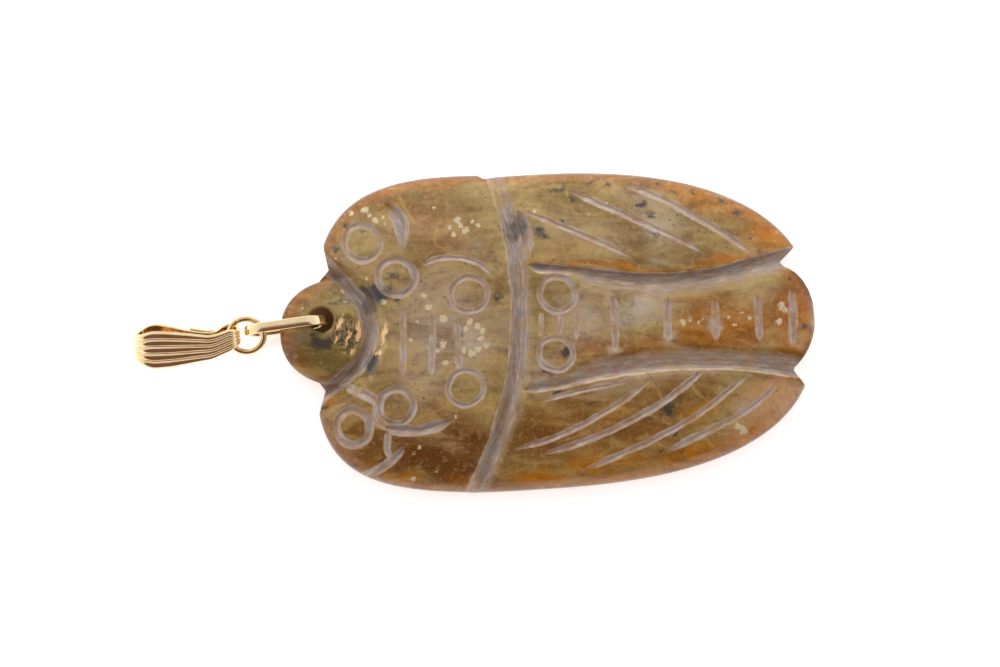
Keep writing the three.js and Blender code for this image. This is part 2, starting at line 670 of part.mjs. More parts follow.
function stripSection(t, inner, outer, ribs, widthScale, origin) {
  const spot = bailLine.getPointAt(t % 1);
  const along = bailLine.getTangentAt(t % 1);
  const outward = new THREE.Vector2(-along.y, along.x);
  const half = bailHalfWidth(spot.x) * widthScale;
  const drop = leafDrop * smooth(spot.x, -eyeMiddle / 2, leafStart);
  const at = (across, out) =>
    placed(
      bailFrame,
      origin,
      spot.x + outward.x * out,
      across * half + drop,
      bailUp * (spot.y + outward.y * out),
    );
  const points = [at(-1, inner), at(1, inner)];
  const count = ribs > 0 ? ribCount * ribFacets : 1;
  for (let i = 0; i <= count; i += 1) {
    const across = 1 - (2 * i) / count;
    const phase = (i % ribFacets) / ribFacets;
    const bulge = ribs * Math.sin(phase * Math.PI);
    points.push(at(across, outer - ribs + bulge));
  }
  return points;
}

// The chain is laid out from the hole outwards: the link hangs against the tail side of the hole, the
// jump ring takes in the link's far bar, and the bail's eye closes round the far side of the ring.
const linkFrame = leaningFrame(linkTurn, -linkRoll);
const linkSink = (linkWidth / 2) * Math.sin(degrees(linkRoll));
const lowerArm = restGap + linkThickness / 2 + linkSink;
const upperArm = headTopAtHole + pieceGap + linkThickness / 2 + linkSink;
const barReach = Math.sqrt((holeRadius - pieceGap) ** 2 - (linkWidth / 2 + linkSag) ** 2);
const barShift = barReach - linkThickness / 2;
const bailLean = degrees(bailRoll);
const chainHeight =
  restGap + (bailDepth / 2) * Math.cos(bailLean) + (bailWidth / 2 + leafDrop) * Math.sin(bailLean);

const nearRadius = (upperArm - lowerArm) / 2;
const farRadius = chainHeight - lowerArm;
const barSpan = linkSpan - linkThickness; // middle of one end bar to middle of the other
const hub = new THREE.Vector3(holeMiddle.x, holeMiddle.y - linkSag, chainHeight);

const linkSteps = 9; // sections round each end

function linkPath() {
  const path = [];
  const nearMiddle = { long: barShift - nearRadius, up: (upperArm + lowerArm) / 2 - chainHeight };
  const farMiddle = { long: barShift - barSpan + farRadius, up: 0 };
  const turnRound = (middle, radius, from) => {
    for (let i = 0; i <= linkSteps; i += 1) {
      const angle = from + (Math.PI * i) / linkSteps;
      path.push({
        long: middle.long + radius * Math.cos(angle),
        up: middle.up + radius * Math.sin(angle),
        outLong: Math.cos(angle),
        outUp: Math.sin(angle),
      });
    }
  };
  turnRound(nearMiddle, nearRadius, -Math.PI / 2);
  turnRound(farMiddle, farRadius, Math.PI / 2);
  return path;
}

function linkGeometry() {
  const half = linkWidth / 2;
  const thick = linkThickness / 2;
  const corners = [
    [half - linkEdge, thick],
    [half, thick - linkEdge],
    [half, linkEdge - thick],
    [half - linkEdge, -thick],
    [linkEdge - half, -thick],
    [-half, linkEdge - thick],
    [-half, thick - linkEdge],
    [linkEdge - half, thick],
  ];
  const sections = linkPath().map((spot) =>
    corners.map(([across, out]) =>
      placed(linkFrame, hub, spot.long + spot.outLong * out, across, spot.up + spot.outUp * out),
    ),
  );
  return geometryOf(solidOf(loft(sections, true)));
}

const farBar = placed(linkFrame, hub, barShift - barSpan, 0, 0);
const eyeSpot = new THREE.Vector3(
  farBar.x - linkThickness / 2 - pieceGap - bailThickness - eyeRadius,
  farBar.y - ringDrop,
  chainHeight,
);
const ringRadius = (ringDiameter - ringWire) / 2;
const wireFacets = 10;
const ringFacets = 24;

function jumpRingGeometry() {
  const geometry = new THREE.TorusGeometry(ringRadius, wireRadius, wireFacets, ringFacets);
  geometry.rotateX(degrees(ringTilt));
  geometry.translate(eyeSpot.x + ringRadius, eyeSpot.y, eyeSpot.z);
  return geometryOf(solidOf(geometry));
}

function bailGeometry() {
  const origin = eyeSpot.clone();
  origin.y -= bailDrop;
  const sections = [];
  for (let i = 0; i < bailSteps; i += 1) {
    const t = i / bailSteps;
    const up = bailLine.getPointAt(t).y;
    const ribs = ribHeight * mix(backRibShare, 1, smooth(up, -pinchHeight, eyeMiddle / 2));
    sections.push(stripSection(t, -bailThickness / 2, bailThickness / 2, ribs, 1, origin));
  }
  const band = solidOf(loft(sections, true));
  const tongue = [];
  const tongueFrom = backLeafAt(tongueReach);
  const tongueTo = backLeafAt(tongueEnd);
  for (let i = 0; i <= tongueSteps; i += 1) {
    const t = mix(tongueFrom, tongueTo, i / tongueSteps);
    tongue.push(stripSection(t, 0, bailThickness / 2 + tongueThickness, 0, tongueOverhang, origin));
  }
  return geometryOf(band.add(solidOf(loft(tongue, false))));
}

const jade = new THREE.MeshStandardMaterial({ color: 0x95713f, roughness: 0.28, metalness: 0 });
const gold = () => new THREE.MeshStandardMaterial({ color: 0xe3bd6c, roughness: 0.22, metalness: 1 });

const group = new THREE.Group();
const pieces = [
  ["cicada", carvedStone(), jade],
  ["link", linkGeometry(), gold()],
  ["jump_ring", jumpRingGeometry(), gold()],
  ["bail", bailGeometry(), gold()],
];
for (const [name, geometry, material] of pieces) {
  const mesh = new THREE.Mesh(geometry, material);
  mesh.name = name;
  group.add(mesh);
}

export default group;
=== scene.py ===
# %% [markdown]
# A carved cicada pendant: a domed brown jade cicada lies on its back, with an oblong gold link through
# the hole in its head, a round jump ring and a fluted gold bail. The packed model gives four solids.
# They are right in size but faceted, so each is made again here as a fine mesh that keeps its place.

# %% Load the frame
import math

import bmesh
import bpy
import numpy as np
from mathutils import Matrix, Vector
from mathutils.geometry import delaunay_2d_cdt


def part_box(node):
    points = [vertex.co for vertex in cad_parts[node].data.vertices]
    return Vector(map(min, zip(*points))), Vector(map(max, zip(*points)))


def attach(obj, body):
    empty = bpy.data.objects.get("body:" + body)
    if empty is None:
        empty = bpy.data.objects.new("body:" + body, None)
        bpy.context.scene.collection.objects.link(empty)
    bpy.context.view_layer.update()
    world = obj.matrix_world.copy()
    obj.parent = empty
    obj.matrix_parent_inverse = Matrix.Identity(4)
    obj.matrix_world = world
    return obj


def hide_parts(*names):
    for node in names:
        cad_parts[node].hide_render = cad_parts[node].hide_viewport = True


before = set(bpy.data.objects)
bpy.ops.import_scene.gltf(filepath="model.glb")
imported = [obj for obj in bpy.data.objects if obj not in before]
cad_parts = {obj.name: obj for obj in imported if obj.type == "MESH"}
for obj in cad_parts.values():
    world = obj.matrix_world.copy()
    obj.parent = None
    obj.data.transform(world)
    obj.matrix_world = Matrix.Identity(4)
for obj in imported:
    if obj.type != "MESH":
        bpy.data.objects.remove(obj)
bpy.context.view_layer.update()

for node_name in sorted(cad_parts):
    low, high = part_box(node_name)
    print(node_name, "spans in mm", [round(1000 * (b - a), 2) for a, b in zip(low, high)])

# %% [markdown]
# The stone is drawn in plan on a grid of small squares, x towards the tail and y down towards the lower
# wing. The same drawing made the solid, so the fine mesh lands exactly on it. Heights are in millimetres.
# A superellipse is the curve that a carver gets by rounding off a square: its fullness says how square
# it stays. Five of them make the outline and the dome, which is far shorter than a list of points.

# %% The drawing grid and the lobes
MM = 0.001
SQUARE = 55 / 535  # millimetres
MIDDLE_X, MIDDLE_Y = 547.6, 332.7
CROWN, RIM_TOP, RIM_BOTTOM, TAIL_TOP, HEAD_TOP = 6.2, 1.9, 1.1, 4.6, 3.9
DOME_FULLNESS, HEAD_FULLNESS, BACK_FLAT = 2.8, 2.2, 0.86
HEAD_LIFT, HEAD_CURL, COLLAR_BLEND = 1.25, 0.25, 12
COLLAR_TOP, COLLAR_FOOT = (487, 178), (470, 491)


def lobe(x, y, long, wide, turn, upper, lower):
    return dict(x=x, y=y, long=long, wide=wide, turn=math.radians(turn), upper=upper, lower=lower)


THORAX = lobe(517.7, 333.9, 203, 158.7, 0, 3.42, 3.76)
WINGS = lobe(527.3, 332.6, 287.7, 157.5, 3.67, 2.44, 2.65)
HEAD = lobe(348.9, 332.5, 68.8, 54.3, 0, 2.25, 2.25)
TAIL = lobe(770.8, 322.8, 43.5, 57.4, -9, 1.89, 1.89)
NECK = lobe(321, 333, 51, 61.5, 0, 1.75, 1.75)
NOTCHES = [  # the notch's point, and the way from it along each edge
    ((328.5, 270.5), (-5, -24), (-9.5, 11.5)),
    ((325.3, 391), (-7, 29), (-5.3, -7.5)),
    ((779, 262.3), (13, -13), (7, 8)),
    ((793.3, 370.5), (11, 14), (1.5, -12)),
    ((483.5, 179.5), (-7, -4), (22, -4.5)),
]
print("five lobes and", len(NOTCHES), "notches on a grid of", round(SQUARE, 4), "mm squares")

# %% [markdown]
# A point is inside a lobe where its share of the way out is under 1. Thorax and wings meet at the collar,
# a slanted line, so each side of it asks its own lobe. The notches are wedges that are taken away. The
# outline is found by halving the way out along each ray, which saves working out where curves cross.

# %% Inside and outside


def lobe_share(shape, x, y):
    """Distance from a lobe's middle, 1 on its outline."""
    right, up = x - shape["x"], shape["y"] - y
    long = (right * math.cos(shape["turn"]) + up * math.sin(shape["turn"])) / shape["long"]
    wide = (up * math.cos(shape["turn"]) - right * math.sin(shape["turn"])) / shape["wide"]
    power = np.where(wide > 0, shape["upper"], shape["lower"])
    return (np.abs(long) ** power + np.abs(wide) ** power) ** (1 / power)


def smooth(value, low, high):
    run = np.clip((value - low) / (high - low), 0, 1)
    return run * run * (3 - 2 * run)


def behind_collar(x, y):
    """Squares behind the collar's slanted line, negative in front of it."""
    (top_x, top_y), (foot_x, foot_y) = COLLAR_TOP, COLLAR_FOOT
    return x - top_x + (y - top_y) * (top_x - foot_x) / (foot_y - top_y)


def in_notch(notch, x, y):
    (nx, ny), (ax, ay), (bx, by) = notch
    across, dx, dy = ax * by - ay * bx, x - nx, y - ny
    return ((dx * by - dy * bx) / across > 0) & ((ax * dy - ay * dx) / across > 0)


def inside_outline(x, y):
    body = np.where(behind_collar(x, y) < 0, lobe_share(THORAX, x, y), lobe_share(WINGS, x, y)) < 1
    for notch in NOTCHES:
        body &= ~in_notch(notch, x, y)
    return body | (lobe_share(HEAD, x, y) < 1) | (lobe_share(TAIL, x, y) < 1)


def outline_reach(angles):
    """Squares from the stone's middle to its outline along each ray."""
    near, far = np.zeros_like(angles), np.full_like(angles, 535.0)
    for _ in range(26):
        half = (near + far) / 2
        inside = inside_outline(MIDDLE_X + half * np.cos(angles), MIDDLE_Y - half * np.sin(angles))
        near, far = np.where(inside, half, near), np.where(inside, far, half)
    return near


print("outline reaches", np.round(outline_reach(np.radians([0.0, 90.0, 180.0, 270.0])), 1), "squares")

# %% [markdown]
# The uncarved stone is a dome: each lobe rises as a superellipse from the upright rim to its top, and the
# lobes blend at the collar and the neck. The underside is flat, curls up to the rim, and is hollowed
# under the head, where the gold link runs.

# %% Heights of the uncarved stone
NECK_BLEND = (0.92, 1.32)  # shares of the neck's lobe between which the head turns into the body
HOLLOW_BLEND = (0.72, 0.98)  # the same for the hollow on the underside


def dome(share, fullness):
    return np.maximum(0, 1 - np.minimum(share, 1) ** fullness) ** (1 / fullness)


def mix(a, b, share):
    return a + (b - a) * share


def body_share(x, y):
    behind = smooth(behind_collar(x, y), -COLLAR_BLEND, COLLAR_BLEND)
    thorax, wings = lobe_share(THORAX, x, y), lobe_share(WINGS, x, y)
    return mix(np.minimum(1, thorax), np.minimum(1, wings), behind)


def crown_at(x, y):
    body = RIM_TOP + (CROWN - RIM_TOP) * dome(body_share(x, y), DOME_FULLNESS)
    end = RIM_TOP + (TAIL_TOP - RIM_TOP) * dome(lobe_share(TAIL, x, y), DOME_FULLNESS)
    front = RIM_TOP + (HEAD_TOP - RIM_TOP) * dome(lobe_share(HEAD, x, y), HEAD_FULLNESS)
    return mix(front, np.maximum(body, end), smooth(lobe_share(NECK, x, y), *NECK_BLEND))


def underside_at(x, y):
    def curl(share):
        edge = np.clip((share - BACK_FLAT) / (1 - BACK_FLAT), 0, 1)
        return 1 - np.sqrt(1 - edge**2)

    lifted = HEAD_LIFT + HEAD_CURL * curl(lobe_share(HEAD, x, y))
    lift = 1 - smooth(lobe_share(NECK, x, y), *HOLLOW_BLEND)
    return mix(RIM_BOTTOM * curl(body_share(x, y)), lifted, lift)


middle_height = crown_at(np.array([MIDDLE_X]), np.array([MIDDLE_Y]))
print("the crown is", round(float(middle_height[0]), 2), "mm high")

# %% [markdown]
# The carving was cut with a turning wheel, so every line is a groove with a V section that swells in and
# dies away. A stroke is a spline through a few points, with a reach to each lip and a depth. Boolean cuts
# would make the grooves too, but leave slivers and hard lips, so here the strokes only lower the surface.

# %% The carver's strokes


def stroke(at, reach, deep, swell, lip_highlight=1.0):
    """A cut: its line, reach to each lip, depth, swelling at the ends, and how bright its lip's painted
    highlight and wear are.
    """
    return dict(at=np.array(at, float), reach=reach, deep=deep, swell=swell, lip_highlight=lip_highlight)


EVEN = (0.2, 0.2)
STROKES = [
    stroke([(326, 264), (361, 301), (372, 333), (360, 365), (321, 397)], (7, 9), 0.8, (0, 0)),
    stroke([(490, 168), (508, 222), (518, 300), (514, 375), (494, 445), (470, 500)],
           (15, 8), 0.95, (0, 0), 1.5),
    stroke([(514, 206), (525, 238), (521, 272)], (8, 8), 0.85, (0.3, 0.5)),
    stroke([(526, 265), (575, 269.5), (640, 275.5), (700, 272.5)], (3, 7), 0.85, (0.08, 0.3), 1.6),
    stroke([(560, 269), (600, 272.5), (650, 276.5), (700, 273), (745, 262.5), (800, 247)],
           (3, 23), 1.1, (0.2, 0), 1.9),
    stroke([(517, 391), (560, 385), (600, 376), (650, 369), (690, 366.5)],
           (10, 3.5), 0.75, (0.15, 0.3), 1.6),
    stroke([(552, 386.5), (600, 375.5), (650, 368), (700, 365.5), (745, 367), (806, 375)],
           (21, 3.5), 1.0, (0.2, 0), 1.9),
    stroke([(534, 403), (580, 390.5), (632, 381)], (2.6, 2.6), 0.3, (0.3, 0.3)),
    stroke([(403, 308), (404, 342), (403, 377)], (3.6, 3.6), 0.4, (0.15, 0.15)),
    stroke([(432, 314), (433, 345), (431, 378)], (3.6, 3.6), 0.4, (0.15, 0.15)),
    stroke([(457, 320), (459, 345), (459, 371)], (3.6, 3.6), 0.4, (0.15, 0.15)),
    stroke([(611, 295), (614, 322), (614, 353)], (4, 4), 0.55, (0.12, 0.12)),
    stroke([(667, 299), (666, 320), (667, 342)], (4.2, 4.2), 0.55, EVEN),
    stroke([(713, 298), (714, 320), (715, 342)], (4.6, 4.6), 0.55, (0.25, 0.25)),
    stroke([(755, 294), (757, 320), (759, 343)], (4.2, 4.2), 0.55, EVEN),
    stroke([(790, 286), (792, 318), (791, 348)], (4.6, 4.6), 0.55, EVEN),
    stroke([(420, 268), (436, 260), (458, 258.5), (480, 265), (498, 280)], (3, 3), 0.35, (0.2, 0.25)),
    stroke([(385, 203), (399, 219), (403, 235), (401, 258)], (8, 7.5), 0.6, (0.3, 0.55)),
    stroke([(389, 430), (388, 445), (391, 460)], (3.6, 3.6), 0.4, (0.2, 0.3)),
    stroke([(406, 442), (397, 456), (381, 468), (356, 483)], (4.6, 5), 0.6, (0.3, 0)),
    stroke([(384, 427), (410, 430), (432, 427), (455, 418)], (6, 6), 0.5, (0.15, 0.3)),
    stroke([(343, 386), (362, 393), (377, 402), (378, 418), (389, 430)], (5, 5), 0.5, (0.15, 0.15)),
    stroke([(521, 211), (560, 226.5), (600, 243), (636, 260)], (3.4, 3.4), 0.4, (0.2, 0.25)),
    stroke([(564, 190), (600, 205), (640, 222.5), (680, 241), (711, 258)], (3.4, 3.4), 0.4, (0.18, 0.25)),
    stroke([(618, 184), (660, 199), (700, 220.5), (730, 239), (756, 259)], (3.8, 3.8), 0.42, (0.18, 0.2)),
    stroke([(508, 450), (545, 440), (580, 425), (620, 402), (654, 375)], (3.6, 3.6), 0.42, EVEN),
    stroke([(535, 455), (565, 447), (610, 430), (660, 403), (705, 368)], (3.8, 3.8), 0.42, (0.2, 0.12)),
    stroke([(575, 473), (610, 458), (660, 435), (700, 412), (750, 371)], (3.6, 3.6), 0.42, (0.2, 0.15)),
    stroke([(659, 454), (700, 434), (735, 416), (760, 399), (780, 378)], (4, 4), 0.42, (0.25, 0.2)),
    stroke([(541, 311), (541, 324), (540, 338)], (2.6, 2.6), 0.28, EVEN),
    stroke([(560, 313), (560, 324), (559, 336)], (2.6, 2.6), 0.28, EVEN),
    stroke([(576, 310), (577, 325), (575, 342)], (2.6, 2.6), 0.28, EVEN),
]
BACK_STROKES = [
    stroke([(500, 205), (492, 333), (498, 460)], (4, 4), 0.4, (0.15, 0.15)),
    stroke([(512, 305), (620, 292), (735, 262)], (4, 4), 0.4, EVEN),
    stroke([(512, 361), (620, 372), (745, 396)], (4, 4), 0.4, EVEN),
] + [stroke([(x, y), (x - 2, 333), (x, 666 - y)], (3.6, 3.6), 0.35, EVEN) for x, y in
     [(640, 306), (690, 303), (738, 299)]]
RINGS = [  # middle, radius of the deepest line, reach to each lip, depth
    (363, 243.5, 17.5, 3.6, 0.5), (397, 277.5, 18, 4, 0.62), (469.5, 294.8, 17.7, 3.2, 0.45),
    (466, 387.5, 17.5, 3.2, 0.45), (397, 406, 17, 4, 0.62), (354, 427, 17, 4.8, 0.6),
    (557, 294.5, 17.5, 3.5, 0.4), (555.5, 354, 16.5, 3.4, 0.38),
]
print(len(STROKES), "strokes and", len(RINGS), "rings on the crown,", len(BACK_STROKES), "on the back")

# %% [markdown]
# Each spline is turned into close, evenly spaced samples, so that the nearest sample stands for the
# nearest point of the line. A stroke that doesn't die away runs on past the edge of the stone, because a
# wheel is drawn off the work; without that its groove would end in a little cliff.

# %% From points to a line
STEP = 0.5  # squares between the samples of a stroke's line
RUN_OFF = 24  # squares that a stroke goes on past its last point


def sampled(points):
    """A spline through the points, as evenly spaced samples with their directions."""
    padded = np.vstack([points[0], points, points[-1]])
    run = np.linspace(0, 1, 60, endpoint=False)[:, None]
    spans = []
    for a, b, c, d in zip(padded, padded[1:], padded[2:], padded[3:]):
        enter, leave = (c - a) / 2, (d - b) / 2
        spans.append((2 * b - 2 * c + enter + leave) * run**3
                     + (-3 * b + 3 * c - 2 * enter - leave) * run**2 + enter * run + b)
    line = np.vstack(spans + [points[-1:]])
    travelled = np.concatenate([[0], np.cumsum(np.hypot(*np.diff(line, axis=0).T))])
    spots = np.linspace(0, travelled[-1], max(8, int(travelled[-1] / STEP)))
    even = np.column_stack([np.interp(spots, travelled, line[:, k]) for k in (0, 1)])
    along = np.gradient(even, axis=0)
    return even, along / np.hypot(*along.T)[:, None], spots


def run_off(line, direction, travelled, swell):
    """Carries a stroke that doesn't die away straight on past the edge of the stone."""
    ahead = np.arange(1, int(RUN_OFF / STEP) + 1)[:, None] * STEP
    if not swell[1]:
        line = np.vstack([line, line[-1] + ahead * direction[-1]])
        direction = np.vstack([direction, np.repeat(direction[-1:], len(ahead), 0)])
        travelled = np.append(travelled, travelled[-1] + ahead[:, 0])
    if not swell[0]:
        line = np.vstack([(line[0] - ahead * direction[0])[::-1], line])
        direction = np.vstack([np.repeat(direction[:1], len(ahead), 0), direction])
        travelled = np.append(-ahead[::-1, 0], travelled)
    return line, direction, travelled


collar_line, _, _ = run_off(*sampled(STROKES[1]["at"]), STROKES[1]["swell"])
print("the collar's groove has", len(collar_line), "samples")

# %% [markdown]
# Nothing cut by hand is even, so noise varies width, depth and line. Blender's own noise for Python takes
# one point at a time, which is slow for a fine mesh. This small one mixes the seeded random numbers of a
# lattice for all points at once, and gives the same result on every run.
# The section of a groove is a V whose bottom and lips are rounded off, as a worn wheel leaves them.

# %% Noise and the section of a groove
LATTICE = (97, 89)  # cells before the noise repeats


def value_noise(x, y, cell, seed):
    """Smooth noise between -1 and 1 on a square lattice."""
    lattice = np.random.default_rng(seed).uniform(-1, 1, LATTICE)
    u, v = x / cell, y / cell
    i, j = np.floor(u).astype(int), np.floor(v).astype(int)
    fu, fv = smooth(u - i, 0, 1), smooth(v - j, 0, 1)

    def at(a, b):
        return lattice[(i + a) % LATTICE[0], (j + b) % LATTICE[1]]

    return mix(mix(at(0, 0), at(1, 0), fu), mix(at(0, 1), at(1, 1), fu), fv)


def groove_profile(u):
    """Depth across a groove, 1 on its deepest line and 0 past the lip, a little rounded at both."""
    bottom = np.sqrt(u * u + 0.02) - math.sqrt(0.02)
    wall = 1 - bottom / (math.sqrt(1.02) - math.sqrt(0.02))
    return (wall + np.sqrt(wall * wall + 0.003)) / 2


print("depth from the middle to the lip", np.round(groove_profile(np.linspace(0, 1, 5)), 2))

# %% [markdown]
# Now the strokes are laid on any set of points. Where grooves cross, the deepest wins, as it would in
# stone. Each point also remembers where it lies in its groove, across and along, and whether it is on the
# lip: the material needs that for the scratches that run with the cut and for the pale lips, which are
# partly wear and partly a painted highlight.

# %% Cutting the strokes
SHALLOW = 0.55  # the solid's narrow cuts are deeper, so that its coarse faces show them
NARROW, WIDE = 6, 14  # squares of reach below which a stroke is a line and above which it is a ground


class Carving:
    """What the strokes leave at each point: depth, and where the point lies in its groove."""

    def __init__(self, x, y):
        self.x, self.y = x, y
        self.depth = np.zeros(len(x))
        self.across = np.zeros(len(x))
        self.along = np.zeros(len(x))
        self.inside = np.zeros(len(x))
        self.lip = np.zeros(len(x))
        self.ground = np.zeros(len(x))

    def lay(self, here, depth, u, across, along, strength, wide, reach, tone, lip_highlight):
        """Adds one cut at the points here; tone says how cool its floor is, lip_highlight how bright its
        lip's painted highlight and wear are.
        """
        inside = strength * smooth(1.12 - u, 0, np.where(wide, 0.85, 0.3))
        lip = lip_highlight * strength * np.exp(-(((u - 0.97) * reach / 1.1) ** 2)) * ~wide
        deeper = depth > self.depth[here]
        won = here[deeper]
        self.depth[won] = depth[deeper]
        self.across[won], self.along[won] = across[deeper], along[deeper]
        self.inside[here] = np.maximum(self.inside[here], inside)
        self.lip[here] = np.maximum(self.lip[here] * (1 - inside), lip)
        self.ground[here] = np.maximum(self.ground[here], inside * tone)

    def cut_stroke(self, cut, seed):
        line, direction, travelled = run_off(*sampled(cut["at"]), cut["swell"])
        widest = max(cut["reach"]) * 1.3 + 2
        low, high = line.min(0) - widest, line.max(0) + widest
        near = (self.x > low[0]) & (self.x < high[0]) & (self.y > low[1]) & (self.y < high[1])
        here = np.flatnonzero(near)
        nearest = np.empty(len(here), int)
        for start in range(0, len(here), 4000):
            part = here[start:start + 4000]
            gap = (self.x[part, None] - line[:, 0]) ** 2 + (self.y[part, None] - line[:, 1]) ** 2
            nearest[start:start + 4000] = gap.argmin(1)
        dx, dy = self.x[here] - line[nearest, 0], self.y[here] - line[nearest, 1]
        whole = travelled[-1] if cut["swell"][1] else travelled[-1] - RUN_OFF
        run = np.clip(travelled[nearest] / whole, 0, 1)
        beyond = np.abs(dx * direction[nearest, 0] + dy * direction[nearest, 1]) > 2 * STEP
        waver = 0.35 * value_noise(travelled[nearest], np.full(len(here), 7.0 * seed), 9, seed)
        side = dx * direction[nearest, 1] - dy * direction[nearest, 0] + waver
        rising, falling = [np.sin(np.minimum(1, part / swell) * math.pi / 2) if swell else 1.0
                           for part, swell in ((run, cut["swell"][0]), (1 - run, cut["swell"][1]))]
        strength = rising * falling * ~beyond
        grain = 1 + 0.1 * value_noise(travelled[nearest], np.full(len(here), 3.0 * seed), 14, seed + 50)
        reach = np.where(side > 0, *cut["reach"]) * np.maximum(strength, 0.04) * grain
        u = np.abs(side) / reach
        narrow = max(cut["reach"]) < NARROW
        depth = cut["deep"] * (SHALLOW if narrow else 1) * strength * grain * groove_profile(u)
        wide = np.where(side > 0, *cut["reach"]) > WIDE
        tone = 0.0 if narrow else 1.0
        self.lay(here, depth, u, side, travelled[nearest], strength, wide, reach, tone, cut["lip_highlight"])

    def cut_ring(self, cut, seed):
        mx, my, radius, reach, deep = cut
        distance = np.hypot(self.x - mx, self.y - my)
        here = np.flatnonzero(np.abs(distance - radius) < reach * 1.5)
        bearing = np.arctan2(self.y[here] - my, self.x[here] - mx)
        waver = 0.5 * np.sin(bearing * 2 + seed) + 0.25 * np.sin(bearing * 5 + 2 * seed)
        side = distance[here] - radius - waver
        u = np.abs(side) / reach
        strength = 1 + 0.12 * np.sin(bearing + seed * 1.7)
        depth = deep * SHALLOW * strength * groove_profile(u)
        wide = np.zeros(len(here), bool)
        self.lay(here, depth, u, side, bearing * radius, strength, wide, reach, 0.35, 0.8)


def carved(x, y, strokes, rings):
    carving = Carving(x, y)
    for seed, cut in enumerate(strokes):
        carving.cut_stroke(cut, seed)
    for seed, cut in enumerate(rings):
        carving.cut_ring(cut, seed)
    return carving


collar_cut = carved(np.array([514.0]), np.array([375.0]), STROKES, RINGS)
print("the collar's groove is", round(float(collar_cut.depth[0]), 2), "mm deep")

# %% [markdown]
# The stone becomes a mesh of points over the drawing, each with a height. The steep rim has rows of points
# that follow the outline, as a plain lattice would cut steps into it, and the drilled hole has its own
# ring of points. A remesh of the coarse solid would be quicker, but would blunt every corner.

# %% Points of the stone
OUTLINE_STEPS = 900
RIM_ROWS = 12
RIM_BAND = 0.038  # share of the way in that the crown's rows cover
FINE = 1.2  # squares between points in the carving
BACK_ROWS = 10
BACK_BAND = 0.07  # the same on the back; a wider band would run into the hole
BACK_SPACING = 3.4
HOLE_X, HOLE_Y = 321.8, 320.2
LINK_WIDTH, LINK_THICK, LINK_ROOM = 1.05, 0.65, 0.63  # millimetres; the hole is drilled to fit the link
HOLE_RADIUS = (math.hypot(LINK_WIDTH / 2, LINK_THICK / 2) + LINK_ROOM) / SQUARE
HOLE_FLARE = 0.2 / SQUARE
HOLE_STEPS = 64
FLAKED_ZONE = (349, 334, 17, 28)  # middle, half width and half length of the broken patch on the head


def outline_angles():
    """Even angles, with the nearest one moved onto each corner of the notches."""
    turn = 2 * math.pi
    angles = np.arange(OUTLINE_STEPS) * turn / OUTLINE_STEPS
    for (nx, ny), first, second in NOTCHES:
        for cx, cy in [(nx, ny), (nx + first[0], ny + first[1]), (nx + second[0], ny + second[1])]:
            angle = math.atan2(MIDDLE_Y - cy, cx - MIDDLE_X) % turn
            angles[round(angle * OUTLINE_STEPS / turn) % OUTLINE_STEPS] = angle
    return angles


def lattice(spacing, keep):
    """Points of a triangular lattice over the stone, those for which keep is true."""
    rows = []
    for k, y in enumerate(np.arange(165, 500, spacing * math.sqrt(0.75))):
        x = np.arange(270, 825, spacing) + (k % 2) * spacing / 2
        rows.append(np.column_stack([x, np.full(len(x), y), np.arange(len(x)), np.full(len(x), k)]))
    points = np.vstack(rows)
    return points[keep(points)][:, :2]


angles = outline_angles()
reaches = outline_reach(angles)


def outline_row(share):
    """The outline drawn in towards the middle."""
    return np.column_stack([MIDDLE_X + share * reaches * np.cos(angles),
                            MIDDLE_Y - share * reaches * np.sin(angles)])


def hole_row(radius):
    turn = np.arange(HOLE_STEPS) * 2 * math.pi / HOLE_STEPS
    return np.column_stack([HOLE_X + radius * np.cos(turn), HOLE_Y - radius * np.sin(turn)])


def share_of_outline(x, y):
    """Distance from the stone's middle, 1 on the outline."""
    bearing = np.arctan2(MIDDLE_Y - y, x - MIDDLE_X) % (2 * math.pi)
    order = np.argsort(angles)
    reach = np.interp(bearing, angles[order], reaches[order], period=2 * math.pi)
    return np.hypot(x - MIDDLE_X, y - MIDDLE_Y) / reach


print("the outline's rows have", len(angles), "points, the hole's", HOLE_STEPS)

# %% [markdown]
# A triangular lattice fills the middle. The mesh needs small triangles only in and beside the grooves, so
# on the plain dome one point in four is kept, and all of them where a groove, its lip or the broken patch
# needs them.

# %% Points inside the rows


def clear_of_edges(points, innermost, margin):
    """Whether lattice points keep off the rows of the outline and the hole."""
    x, y = points[:, 0], points[:, 1]
    gap = margin / np.hypot(x - MIDDLE_X, y - MIDDLE_Y).clip(20)
    off_hole = np.hypot(x - HOLE_X, y - HOLE_Y) > HOLE_RADIUS + HOLE_FLARE + margin
    return (share_of_outline(x, y) < innermost - gap) & off_hole


def crown_points(points):
    """Every point near the carving, and one in four elsewhere."""
    inside = clear_of_edges(points, 1 - RIM_BAND, 0.6 * FINE)
    x, y = points[:, 0], points[:, 1]
    field = carved(x, y, STROKES, RINGS)
    flaked_x, flaked_y, half_wide, half_long = FLAKED_ZONE
    flaked = np.hypot((x - flaked_x) / half_wide, (y - flaked_y) / half_long) < 1
    fine = (field.inside > 0.02) | (field.lip > 0.05) | flaked
    row, place = points[:, 3].astype(int), points[:, 2].astype(int)
    coarse = (row % 2 == 0) & ((place + row // 2) % 2 == 0)
    return inside & (fine | coarse)


crown_inner = lattice(FINE, crown_points)
back_inner = lattice(BACK_SPACING, lambda points: clear_of_edges(points, 1 - BACK_BAND, 1.4))
crown_shares = 1 - RIM_BAND * (np.arange(RIM_ROWS + 1) / RIM_ROWS) ** 2.5
back_shares = 1 - BACK_BAND * (np.arange(BACK_ROWS + 1) / BACK_ROWS) ** 2
print(len(crown_inner), "points on the crown,", len(back_inner), "on the back")

